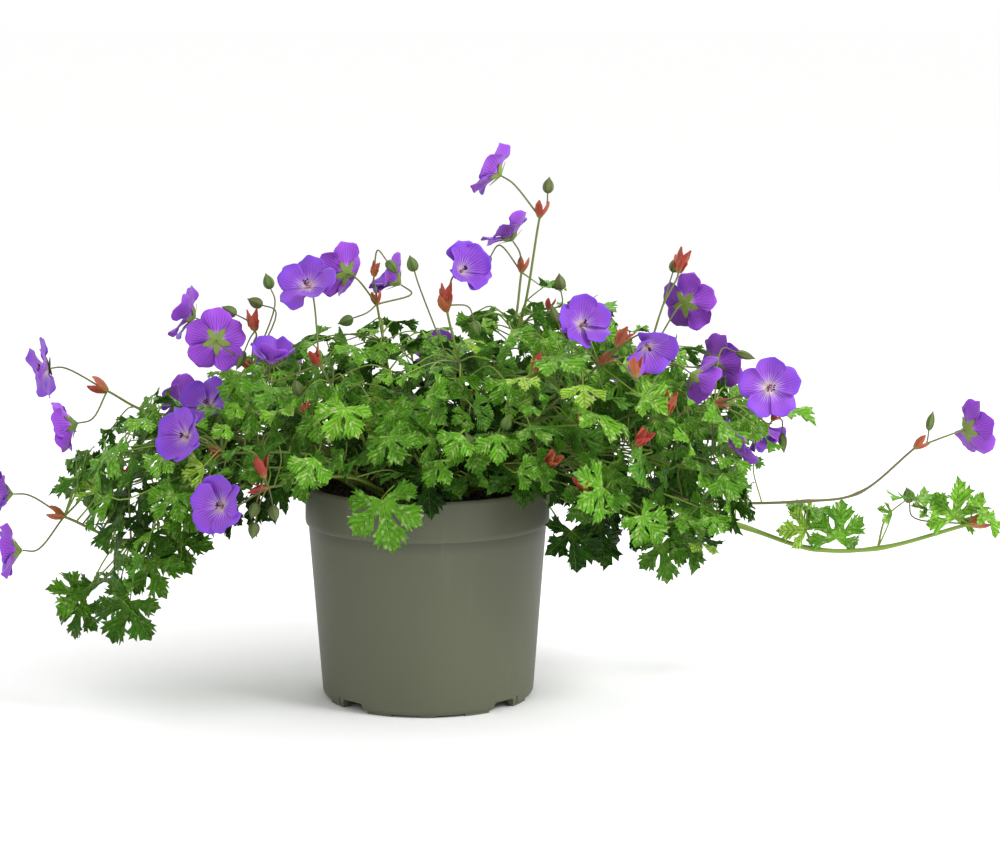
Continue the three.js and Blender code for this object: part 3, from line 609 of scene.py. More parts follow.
cutters = bmesh.new()
for quarter in range(4):
    middle = 45 + 90 * quarter
    slit = [(across if quarter % 2 else -across, height) for across, height in SLIT]
    slab(cutters, NOTCH, FOOT_RADIUS - 12, FOOT_RADIUS + 8, middle)
    slab(cutters, slit, FOOT_RADIUS - 5, FOOT_RADIUS + 3, middle)
    centre = Vector((HOLE_PLACE, 0)) @ Matrix.Rotation(-math.radians(90 * quarter), 2)
    hole = [(centre.x + x, centre.y + y) for x, y in HOLE]
    loft(cutters, [[(x * MM, y * MM, end * MM) for x, y in hole] for end in (HOLE_LOW, HOLE_HIGH)])
cutter = shown("cutters", mesh_of(cutters, "cutters"))
uncut = shown("uncut pot", shell)
cut = uncut.modifiers.new("cut", "BOOLEAN")
cut.operation, cut.solver, cut.object = "DIFFERENCE", "EXACT", cutter
pot_mesh = plain(uncut)
bpy.data.objects.remove(cutter)
print("pot faces after cutting:", len(pot_mesh.polygons))

# %% Add the standing pads
PADS = [(0, 4.4), (28, 7.5), (62, 7.5)]
PAD_INNER, PAD_OUTER, PAD_TOP = FOOT_RADIUS - FOOT_WIDTH + 1.2, FOOT_RADIUS - 2.6, PAD_HEIGHT + 0.3
PAD_SECTION = [(PAD_INNER, 0), (PAD_OUTER, 0), (PAD_OUTER, PAD_TOP), (PAD_INNER, PAD_TOP)]


def pad(form, middle, half_angle, steps=6):
    """A low curved foot, sunk into the foot ring."""
    angles = [math.radians(middle + half_angle * (2 * i / steps - 1)) for i in range(steps + 1)]
    loft(form, [[around(radius, height, angle) for radius, height in PAD_SECTION] for angle in angles])


feet = bmesh.new()
for quarter in range(4):
    for turn, half_angle in PADS:
        pad(feet, 90 * quarter + turn, half_angle)
bmesh.ops.recalc_face_normals(feet, faces=feet.faces)
feet.from_mesh(pot_mesh)
feet.to_mesh(pot_mesh)
feet.free()
pot_mesh.shade_smooth()
pot_mesh.set_sharp_from_angle(angle=math.radians(32))
pot_mesh.materials.clear()
pot_mesh.materials.append(pot_plastic)
pot_mesh.polygons.foreach_set("material_index", [0] * len(pot_mesh.polygons))
pot_piece = shown("nursery_pot", pot_mesh)
print("pads:", 4 * len(PADS))

# %% Hand the pot over
def hand_over(piece, slot, *nodes):
    """The piece stands for these solids and rides with them."""
    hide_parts(*nodes)
    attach(piece, "root")


hand_over(pot_piece, "pot_plastic", "pot")
print("the pot stands for the solid called pot")

# %% [markdown]
# ## The potting mix
# The mix fills the pot to just under the rim and is heaped a little round the plant. It has crumbs of all
# sizes. A turned plug gives the fill, a random lift roughens its top, and Geometry Nodes scatter crumbs and
# bark chips over the top face with a fixed seed. Scattering in nodes keeps their number and size as two
# plain inputs.

# %% Shape the fill
SOIL_EDGE, SOIL_SHOULDER, SOIL_TOP = 156.5, (56, 161.5), 163
soil_random = np.random.default_rng(7)
fill_profile = [(0, FLOOR_TOP + 0.3), (81.4, FLOOR_TOP + 0.3)]
fill_profile += [(90.4, STEP_HEIGHT - 0.7), (92.3, STEP_HEIGHT + 3.3)]
for radius in (92.3, 90, 86, 80, 74, 68, 62, 56, 48, 40, 32, 24, 16, 8, 0):
    heaped = np.interp(radius, [0, SOIL_SHOULDER[0], 92], [SOIL_TOP, SOIL_SHOULDER[1], SOIL_EDGE])
    fill_profile.append((radius, heaped))
fill = turned("fill", fill_profile, 96)
for vertex in fill.vertices:
    if vertex.co.z > 150 * MM and math.hypot(vertex.co.x, vertex.co.y) < 91 * MM:
        vertex.co.z += soil_random.uniform(-1.3, 0.9) * MM
print("fill vertices:", len(fill.vertices))

# %% Crumb moulds
def collection_of(name, meshes):
    """A hidden box of moulds, for Geometry Nodes to pick from."""
    box = bpy.data.collections.new(name)
    for number, mesh in enumerate(meshes):
        box.objects.link(bpy.data.objects.new(f"{name} {number:02}", mesh))
    return box


def crumb_mesh(number):
    """A lump of about a millimetre, or a flat chip of bark."""
    form = bmesh.new()
    bmesh.ops.create_icosphere(form, subdivisions=1, radius=1)
    for vertex in form.verts:
        vertex.co *= soil_random.uniform(0.7, 1.25)
    bmesh.ops.scale(form, vec=(1, 1, 0.7) if number < 3 else (2.4, 1.1, 0.4), verts=form.verts)
    return mesh_of(form, "crumb")


crumbs = collection_of("crumb", [crumb_mesh(number) for number in range(5)])

# %% Helpers for Geometry Nodes trees
class Growth(Tree):
    """A Geometry Nodes tree with named inputs: a socket for each is in its port."""

    def __init__(self, title, **inputs):
        group = bpy.data.node_groups.new(title, "GeometryNodeTree")
        super().__init__(group)
        group.interface.new_socket("Geometry", in_out="OUTPUT", socket_type="NodeSocketGeometry")
        group.interface.new_socket("Geometry", in_out="INPUT", socket_type="NodeSocketGeometry")
        for name, kind in inputs.items():
            name = name.replace("_", " ")
            group.interface.new_socket(name, in_out="INPUT", socket_type="NodeSocket" + kind)
        entry = group.nodes.new("NodeGroupInput")
        self.port = {socket.name: Socket(self, socket) for socket in entry.outputs if socket.name}

    def carried(self, name, kind="FLOAT"):
        """What the points carry under this name."""
        return self.node("GeometryNodeInputNamedAttribute", {"data_type": kind}, {"Name": name})

    def chance(self, low, high):
        """A random number for each point."""
        sockets = {"Min_001": low, "Max_001": high, "Seed": self.port["Seed"]}
        return self.node("FunctionNodeRandomValue", {"data_type": "FLOAT"}, sockets, 1)

    def moulds_on(self, points, box, **sockets):
        """One mould out of a box on each point."""
        moulds = {"Collection": box, "Separate Children": True, "Reset Children": True}
        named = {name.replace("_", " "): value for name, value in sockets.items()}
        named |= {"Points": points, "Pick Instance": True}
        named["Instance"] = self.node("GeometryNodeCollectionInfo", inputs=moulds)
        return self.node("GeometryNodeInstanceOnPoints", inputs=named)

    def finished(self, geometry, finish):
        """Instances made real, with their finish: how every branch ends."""
        real = self.node("GeometryNodeRealizeInstances", inputs={"Geometry": geometry})
        return self.node("GeometryNodeSetMaterial", inputs={"Geometry": real, "Material": finish})

    def end(self, *branches):
        """Joins the branches and sends them out."""
        whole = self.node("GeometryNodeJoinGeometry", inputs={"Geometry": list(branches)})
        self.node("NodeGroupOutput", inputs={"Geometry": whole})

    def grown(self, mesh, **values):
        """A plain mesh from a starting mesh. Inputs are set by identifier before anything runs."""
        source = shown("seedling", mesh)
        modifier = source.modifiers.new("growth", "NODES")
        modifier.node_group = self.tree
        for item in self.tree.interface.items_tree:
            label = item.name.replace(" ", "_")
            if item.in_out == "INPUT" and label in values:
                modifier[item.identifier] = values[label]
        return plain(source)


print("helpers for trees:", len([name for name in vars(Growth) if not name.startswith("__")]))

# %% Scatter the crumbs
scatter = Growth("crumbs on soil", Per_square_metre="Float", Crumb_size="Float", Seed="Int")
port = scatter.port
upward = scatter.parts(scatter.node("GeometryNodeInputNormal"))[2] > 0.6
height = scatter.parts(scatter.node("GeometryNodeInputPosition"))[2]
points = scatter.node(
    "GeometryNodeDistributePointsOnFaces",
    inputs={
        "Mesh": port["Geometry"],
        "Selection": upward * (height > 0.15),
        "Density": port["Per square metre"],
        "Seed": port["Seed"],
    },
)
any_turn = scatter.node(
    "FunctionNodeRandomValue",
    {"data_type": "FLOAT_VECTOR"},
    {"Min": (0, 0, 0), "Max": (6.3, 6.3, 6.3), "Seed": port["Seed"]},
)
crumb_layer = scatter.moulds_on(
    points,
    crumbs,
    Rotation=scatter.node("FunctionNodeEulerToRotation", inputs={"Euler": any_turn}),
    Scale=scatter.chance(0.35, 1.5) * port["Crumb size"],
)
fill_sockets = {"Geometry": port["Geometry"], "Material": soil_finish}
fill_layer = scatter.node("GeometryNodeSetMaterial", inputs=fill_sockets)
scatter.end(fill_layer, scatter.finished(crumb_layer, soil_finish))
soil_mesh = scatter.grown(fill, Per_square_metre=65000.0, Crumb_size=1.0 * MM, Seed=3)
hand_over(shown("potting_mix", soil_mesh), "potting_soil", "soil")
print("soil faces:", len(soil_mesh.polygons))

# %% [markdown]
# ## How a blade is made
# Leaves, petals, sepals and bracts are all thin blades. Each is a face, the same face underneath and a
# narrow rim between the two, so it is closed and has a real thickness. Every point keeps a mark: how far it
# lies across and along the blade, and whether it is on the underside. The finishes draw their veins from
# these marks.

# %% Close a thin blade
def carry(mesh, name, kind, values):
    """Gives each point of a mesh a value under this name."""
    field = "vector" if kind == "FLOAT_VECTOR" else "value"
    mesh.attributes.new(name, kind, "POINT").data.foreach_set(field, np.ravel(values))


def thin_blade(name, points, faces, marks, thickness):
    """A closed mesh from one face of a blade. Points and thickness have the same unit."""
    points, marks = np.asarray(points, float), np.asarray(marks, float)
    count = len(points)
    normals = np.zeros((count, 3))
    edges = set()
    for face in faces:
        a, b, c = (points[corner] for corner in face[:3])
        for corner, following in zip(face, [*face[1:], face[0]]):
            normals[corner] += np.cross(b - a, c - a)
            edges.add((corner, following))
    normals /= np.linalg.norm(normals, axis=1, keepdims=True)
    rim = sorted(edge for edge in edges if edge[::-1] not in edges)
    half = normals * thickness / 2
    under = [[corner + count for corner in reversed(face)] for face in faces]
    sides = [[a, a + count, b + count, b] for a, b in rim]
    mesh = bpy.data.meshes.new(name)
    both = np.vstack([points + half, points - half]).tolist()
    mesh.from_pydata(both, [], [*map(list, faces), *under, *sides])
    mesh.polygons.foreach_set("use_smooth", [True] * (2 * len(faces)) + [False] * len(sides))
    face_marks, under_marks = (np.column_stack([marks, np.full(count, side)]) for side in (0, 1))
    carry(mesh, "blade", "FLOAT_VECTOR", np.vstack([face_marks, under_marks]))
    return mesh


def grid_faces(columns, rows):
    """Quads over a grid of points that is numbered row by row."""
    corners = (0, 1, columns + 1, columns)
    return [
        tuple(row * columns + column + corner for corner in corners)
        for row in range(rows - 1)
        for column in range(columns - 1)
    ]


print("quads of a grid of 5 by 9 points:", len(grid_faces(5, 9)))

# %% [markdown]
# ## Leaf moulds
# A geranium leaf has five wedge-shaped lobes, or three on small leaves, each cut again into pointed teeth.
# A grid can't follow such an edge, so the outline is drawn as a list of points, filled with evenly spaced
# points, and joined into triangles. The blade then droops towards its tips, rises between the main veins
# and puckers between the side veins. Several moulds with slightly different lobes keep the leaves from
# looking stamped.

# %% Leaf outline
LOBES = [(-106, 0.74), (-53, 0.92), (0, 1.0), (53, 0.92), (106, 0.74)]
SINUS_REACH, BLADE_BASE, BLADE_DROOP = 0.25, 0.17, 0.3
HALF_LOBE = [
    # across, along, from the sinus to the tip
    (0.12, 0.33),
    (0.185, 0.5),
    (0.225, 0.555),
    (0.32, 0.64),
    (0.26, 0.67),
    (0.355, 0.79),
    (0.265, 0.79),
    (0.26, 0.9),
    (0.155, 0.74),
    (0.175, 0.915),
    (0.095, 0.905),
]


def turned_point(across, along, degrees):
    """A point of a lobe after the lobe is turned about the stalk's end."""
    cos, sin = math.cos(math.radians(degrees)), math.sin(math.radians(degrees))
    return (across * cos + along * sin, along * cos - across * sin)


def leaf_outline(lobes, random):
    """The cut edge of one leaf, anticlockwise, as shares of its size."""
    edge = []
    for angle, reach in lobes:
        edge.append(turned_point(-0.112, 0.224, angle))
        angle, reach = angle + random.uniform(-1.5, 1.5), reach * random.uniform(0.92, 1.03)
        for side, half in ((-1, HALF_LOBE), (1, HALF_LOBE[::-1])):
            if side == 1:
                edge.append(turned_point(0, reach, angle))
            for across, along in half:
                shift = random.uniform(-0.014, 0.014, 2)
                edge.append(turned_point(side * across * reach + shift[0], along * reach + shift[1], angle))
    edge.append(turned_point(0.112, 0.224, lobes[-1][0]))
    edge.append((0.0, -0.03))
    return edge[::-1]


def is_inside(point, outline):
    """Whether a point lies within a closed outline."""
    inside = False
    for (x0, y0), (x1, y1) in zip(outline, [*outline[1:], outline[0]]):
        if (y0 > point[1]) != (y1 > point[1]) and point[0] < (x1 - x0) * (point[1] - y0) / (y1 - y0) + x0:
            inside = not inside
    return inside


print("corners of a leaf's edge:", len(leaf_outline(LOBES, np.random.default_rng(100))))

# %% Leaf blade
LEAF_GRID, LEAF_THICKNESS, VEIN_STEP = 0.085, 0.011, 0.15
GRID_REACH, ROW_GAP, EDGE_GAP = 14, 0.87, 0.55


def leaf_height(across, along, lobes, sway):
    """The lift of a blade above its own plane, as a share of its size.

    Each lobe folds, twists and droops in its own way.
    """
    reach = math.hypot(across, along)
    angle = math.degrees(math.atan2(across, along))
    order = sorted(range(len(lobes)), key=lambda i: abs(lobes[i][0] - angle))[:2]
    near, next_near = (lobes[i][0] for i in order)
    share = 0.5 + 0.5 * min(1, abs(angle - next_near) / 53 - 0.5) if abs(near - next_near) > 1 else 1
    fold, twist, droop = share * sway[order[0]] + (1 - share) * sway[order[1]]
    swing = max(-34, min(34, angle - near))
    off_vein = reach * math.sin(math.radians(swing))
    free = min(1, max(0, reach - SINUS_REACH) / 0.35)
    slant = (reach * math.cos(math.radians(swing)) - 1.25 * abs(off_vein)) / VEIN_STEP
    pucker = 0.018 * math.cos(2 * math.pi * slant) * min(1, abs(off_vein) / 0.06)
    return (0.24 + fold * free) * abs(off_vein) + twist * free * off_vein + pucker - droop * reach * reach


def leaf_mesh(number, lobes):
    """A leaf of size 1 whose stalk's end is at the blade's own base."""
    random = np.random.default_rng(100 + number)
    outline = leaf_outline(lobes, random)
    inner = []
    for row in range(-GRID_REACH, GRID_REACH + 1):
        for column in range(-GRID_REACH, GRID_REACH + 1):
            spot = ((column + 0.5 * (row % 2)) * LEAF_GRID, row * LEAF_GRID * ROW_GAP)
            spaced = all(math.dist(spot, corner) > EDGE_GAP * LEAF_GRID for corner in outline)
            if spaced and is_inside(spot, outline):
                inner.append(spot)
    edges = [(i, (i + 1) % len(outline)) for i in range(len(outline))]
    flat, _, faces, *_ = delaunay_2d_cdt([Vector(spot) for spot in outline + inner], edges, [], 0, 1e-6)
    kept = [face for face in faces if is_inside(sum((flat[i] for i in face), Vector((0, 0))) / 3, outline)]
    least, most = (0.05, -0.5, BLADE_DROOP - 0.22), (0.75, 0.5, BLADE_DROOP + 0.22)
    sway = random.uniform(least, most, (len(lobes), 3))
    places = [(x, y - BLADE_BASE, leaf_height(x, y, lobes, sway)) for x, y in flat]
    return thin_blade("leaf", places, kept, flat, LEAF_THICKNESS)


FULL_LEAVES, SMALL_LEAVES = (0, 16), (16, 24)
leaf_moulds = [leaf_mesh(number, LOBES) for number in range(*FULL_LEAVES)]
leaf_moulds += [leaf_mesh(number, LOBES[1:4]) for number in range(*SMALL_LEAVES)]
leaf_box = collection_of("leaf mould", leaf_moulds)
print("faces of a leaf:", [len(mesh.polygons) for mesh in leaf_moulds])

# %% [markdown]
# ## Bud, calyx and bract moulds
# A bud is a pointed spindle with five ribs, because five sepals are wrapped round the folded petals. Under
# an open flower the sepals spread as a star. At each fork two or three narrow bracts stand up in a V. The
# bud is a turned form with a wavy section, and the blades are small grids with a lance-shaped width.

# %% Narrow blades
BUD_SHAPE = [(0, 0.34), (0.07, 0.66), (0.21, 0.93), (0.38, 1.0), (0.56, 0.9)]
BUD_SHAPE += [(0.72, 0.65), (0.83, 0.38), (0.9, 0.2), (0.95, 0.12), (1, 0.04)]


def lance(length, width, lean, rows, first=0.0, curl=0.0, ragged=0.0, columns=5):
    """A grid of points of a narrow blade that leans out from the Z axis, in millimetres, and its marks."""
    places, marks = [], []
    for along in np.linspace(0, 1, rows):
        half = width / 2 * math.sin(math.pi * min(0.97, 0.12 + 0.86 * along)) ** 0.8
        half *= 1 + ragged * math.sin(along * 19 + width)
        for aside in np.linspace(-1, 1, columns):
            out = first + length * along * math.sin(lean) - abs(aside) * half * 0.25 + curl * along**3
            up = length * along * math.cos(lean) + 0.35 * along * along
            places.append((out, aside * half, up))
            marks.append((aside, along))
    return places, marks, grid_faces(columns, rows)


def whorl(name, thickness, *blades):
    """Narrow blades, each turned to its own angle, in one mesh in metres."""
    points, faces, marks = [], [], []
    for angle, (places, blade_marks, blade_faces) in blades:
        offset = len(points)
        turn = Matrix.Rotation(math.radians(angle), 3, "Z")
        points += [list(turn @ Vector(place) * MM) for place in places]
        marks += blade_marks
        faces += [tuple(corner + offset for corner in face) for face in blade_faces]
    return thin_blade(name, points, faces, marks, thickness * MM)


def spindle(name, length, radius, ribs, sides=15):
    """A closed bud that points along +Z from the origin, in metres."""
    rings, marks = [[(0, 0, 0)]], [(0, 0)]
    for share, width in BUD_SHAPE:
        rings.append([])
        for side in range(sides):
            angle = 2 * math.pi * side / sides
            wide = radius * width * (1 + ribs * math.cos(5 * angle)) * MM
            rings[-1].append((wide * math.cos(angle), wide * math.sin(angle), length * share * MM))
            marks.append((side / sides * 2, share * 0.9))
    form = bmesh.new()
    loft(form, [*rings, [(0, 0, length * MM)]])
    mesh = mesh_of(form, name)
    mesh.shade_smooth()
    marks.append((0, 1))
    carry(mesh, "blade", "FLOAT_VECTOR", np.column_stack([marks, np.ones(len(marks))]))
    return mesh


print("rings of a bud:", len(BUD_SHAPE))

# %% Make the small moulds
BUD_LENGTH, SEPAL_LENGTH, SEPAL_WIDTH = 12.5, 12, 4.8
SEPAL_THICKNESS, BRACT_THICKNESS = 0.3, 0.35
STAR_LEANS = (86, 72, 58)
FAT_BUD, SLIM_BUD, FIRST_STAR = 0, 1, 2


def calyx_star(lean):
    """Five sepals behind an open flower, which lean out this far."""
    sepal = lance(SEPAL_LENGTH, SEPAL_WIDTH, math.radians(lean), 9)
    return whorl("calyx star", SEPAL_THICKNESS, *[(54 + 72 * i, sepal) for i in range(5)])


buds = [spindle("fat bud", BUD_LENGTH, 4.1, 0.12), spindle("slim bud", BUD_LENGTH * 1.25, 3.0, 0.16)]
calyx_box = collection_of("calyx mould", buds + [calyx_star(lean) for lean in STAR_LEANS])
long = lance(14.5, 6.4, math.radians(30), 8, 0.9, -3.0, 0.05)
plump = lance(12, 6.2, math.radians(13), 8, 0.9, 1.5, 0.12)
short = lance(9, 5.0, math.radians(34), 8, 0.9, 2.0, 0.15)
upright = lance(13.5, 6.8, math.radians(7), 8, 1.2, -1.0, 0.1)
bract_moulds = [
    whorl("bract pair", BRACT_THICKNESS, (-48, long), (-134, long), (88, short)),
    whorl("bract trio", BRACT_THICKNESS, (0, plump), (100, short), (215, upright)),
    whorl("bract crown", BRACT_THICKNESS, (20, plump), (95, short), (190, upright), (280, plump)),
]
bract_box = collection_of("bract mould", bract_moulds)

# %% [markdown]
# ## Where everything grows
# Each flowering shoot has a foot in the mix, the points that its stem passes, and the blooms, buds and
# leaves that leave it at one of these points. Each tuft has a foot, a part of the dome that its leaves
# fill, and some leaves with a set place; some also fill a part of the wider skirt below. These are the same
# places that the solids use, so each piece sits where its solid is. Fine leaves and sprays of
# bracts are only here, because they are too small for the solids. Each bloom also has its cup, and some
# have turned a little since the solid was made.
#
# The rows are short, so that a whole shoot can be read and moved at a glance.

# %% Shoots and tufts
STEM_START = 165


@dataclass
class Shoot:
    """A flowering shoot: its foot, the points of its stem, and rows for what leaves the stem.

    Each row starts with the number of a stem point and a place.
    """

    foot: tuple
    stem: list
    blooms: tuple = ()  # the way the solid's flower faces, its cup, and the way it has turned to since
    buds: tuple = ()  # the way it points
    leaves: tuple = ()  # the way its tip points, and its size
    fine_leaves: tuple = ()  # the same and the light it faces, for leaves that only show in fine detail
    sprays: tuple = ()  # the way its bracts stand, their size, and the place and way of each bud beyond

    def points(self):
        return [(*self.foot, STEM_START), *self.stem]


@dataclass
class Tuft:
    """Leaves from one foot. A dome or skirt is azimuth, spread, lowest and highest elevation, and count."""

    foot: tuple
    dome: tuple
    skirt: tuple = ()
    leaves: tuple = ()  # place, way its tip points, and size

    def start(self):
        return np.array([*self.foot, STEM_START], float)


print("stems start at a height of", STEM_START, "mm")

# %% Shoots of the crest
SHOOTS = {
    "crest": Shoot(
        (14, -6), [(40, -10, 230), (70, -10, 288), (86, -20, 375)],
        blooms=[(2, (54, -20, 408), (-0.6, 0.2, 0.75), 0.25, (-0.8, 0.3, 0.5))],
        buds=[(2, (92, -20, 393), (0.1, 0, 1))],
        leaves=[(1, (92, -22, 322), (0.9, -0.4, 0.1), 20)],
        sprays=[(1, (92, -34, 306), (0.2, -0.2, 0.9), 0.8, ((101, -42, 322), (-0.1, 0, 1)))],
    ),
    "crest_back": Shoot(
        (12, 8), [(46, 14, 240), (67, 20, 284), (74, 30, 328)],
        blooms=[(2, (65, 30, 356), (-0.45, -0.1, 0.9), 0.3, (-0.5, 0.2, 0.84))],
        buds=[(2, (50, 34, 340), (-0.6, 0, -0.8))],
        leaves=[(2, (92, 34, 318), (0.9, -0.2, 0.2), 22)],
    ),
    "front_high": Shoot(
        (2, -14), [(16, -32, 205), (28, -58, 240), (15, -78, 310)],
        blooms=[(2, (29, -92, 344), (0.45, -0.75, 0.35), 0.65, (0.5, -0.72, 0.48))],
        buds=[(1, (-9, -60, 338), (-0.3, 0, 1))],
        sprays=[(1, (80, -92, 266), (0.3, -0.2, 0.9), 1.2),
            (2, (15, -82, 315), (-0.1, -0.2, 0.9), 1.3, ((35, -66, 301), (0.3, 0, -0.9))),
            (0, (42, -112, 200), (0, -0.5, 0.85), 0.9, ((31, -120, 214), (-0.2, -0.2, 0.95)),
                ((46, -122, 215), (0.1, -0.2, 0.95)), ((56, -120, 228), (0.3, -0.2, 0.9)))],
    ),
}  # fmt: skip
print("shoots:", len(SHOOTS))

# %% Shoots on the left
SHOOTS |= {
    "left_high": Shoot(
        (-16, -14), [(-52, -50, 215), (-80, -76, 270)],
        blooms=[(1, (-88, -72, 328), (-0.1, -0.9, 0.35), 0.22, (-0.25, -0.7, 0.65)),
            (1, (-114, -84, 280), (0.3, -0.3, 0.8), 0.8, (0.15, -0.25, 0.95))],
        sprays=[(0, (-90, -92, 236), (-0.2, -0.3, 0.9), 1.0, ((-94, -94, 250), (-0.2, -0.3, 0.9)))],
    ),
    "left_middle": Shoot(
        (-8, 2), [(-26, -4, 235), (-38, -14, 308)],
        blooms=[(1, (-62, -26, 334), (-0.5, 0.6, 0.6), 0.3, (-0.6, 0.7, 0.25)),
            (1, (-26, 20, 324), (-0.7, -0.3, 0.5), 0.5, (-0.75, 0.15, 0.55))],
        buds=[(1, (-56, -36, 300), (-0.9, -0.3, -0.3))],
        sprays=[(1, (-40, -20, 330), (0.1, 0, 1), 0.9, ((-30, -24, 342), (0.6, -0.2, -0.7)))],
    ),
    "left_outer": Shoot(
        (-22, -4), [(-72, -22, 222), (-132, -46, 264)],
        blooms=[(1, (-180, -16, 300), (-0.9, 0.1, 0.4), 0.3),
            (1, (-156, -74, 288), (-0.35, 0.85, 0.3), 0.08, (-0.2, 0.95, 0.05))],
        buds=[(1, (-124, -36, 310), (-0.9, 0, 0.4)), (1, (-118, -30, 322), (-0.3, 0.2, 0.9))],
        sprays=[(1, (-128, -62, 294), (-0.2, -0.2, 0.9), 1.3, ((-136, -66, 279), (-0.4, -0.2, -0.9)),
                ((-142, -62, 306), (-0.7, 0, 0.4)))],
    ),
    "left_front": Shoot(
        (-24, -18), [(-84, -60, 198), (-152, -88, 206)],
        blooms=[(1, (-178, -120, 224), (-0.45, -0.8, 0.35), 0.45, (-0.6, -0.72, 0.3)),
            (1, (-166, -44, 236), (-0.3, -0.5, 0.6), 0.4)],
    ),
    "left_low": Shoot(
        (-16, -28), [(-58, -80, 186), (-118, -112, 184)],
        blooms=[(1, (-150, -142, 176), (-0.3, -0.9, 0.2), 0.33, (-0.45, -0.82, 0.28))],
        buds=[(1, (-126, -124, 160), (-0.2, -0.2, -1))],
        sprays=[(1, (-119, -120, 193), (-0.2, -0.3, 0.9), 1.4,
                ((-125, -126, 175), (-0.3, -0.2, -0.9)), ((-113, -126, 173), (0.2, -0.2, -0.95)))],
    ),
    "far_left": Shoot(
        (-32, 6), [(-112, -4, 216), (-212, -18, 226), (-244, -20, 243)],
        blooms=[(2, (-290, -10, 259), (-0.75, -0.6, 0.1), 0.12, (-0.9, -0.4, 0)),
            (2, (-271, -44, 220), (-0.9, -0.3, -0.2), 0.5, (-0.93, 0.1, -0.25))],
        leaves=[(1, (-200, -42, 218), (-0.6, -0.8, -0.1), 32),
            (1, (-254, -16, 184), (-0.8, -0.3, -0.5), 33)],
    ),
    "low_left": Shoot(
        (-34, -8), [(-100, -22, 186), (-168, -34, 156), (-226, -42, 131), (-276, -44, 150)],
        blooms=[(3, (-324, -22, 164), (-0.9, -0.3, 0.1), 0.45),
            (3, (-312, -64, 128), (-0.85, -0.45, 0.1), 0.45, (-0.95, -0.05, 0))],
        leaves=[(1, (-187, -56, 129), (0.3, -0.6, -0.75), 32),
            (2, (-208, -62, 114), (0.35, -0.5, -0.8), 32), (2, (-254, -22, 94), (-0.85, -0.1, -0.4), 34),
            (2, (-236, -56, 88), (-0.1, -0.2, -1), 33)],
        fine_leaves=[(2, (-270, -36, 89), (-0.95, -0.2, 0.3), 30, (0, -1.2, 0.8)),
            (2, (-267, -40, 74), (-0.3, -0.2, -0.95), 26, (0, -2, 0.4)),
            (2, (-227, -72, 84), (-0.42, -0.1, -0.9), 35, (0, -2.4, 0.3))],
        sprays=[(2, (-227, -46, 175), (-0.2, -0.3, 0.9), 1.2)],
    ),
}  # fmt: skip
print("shoots:", len(SHOOTS))

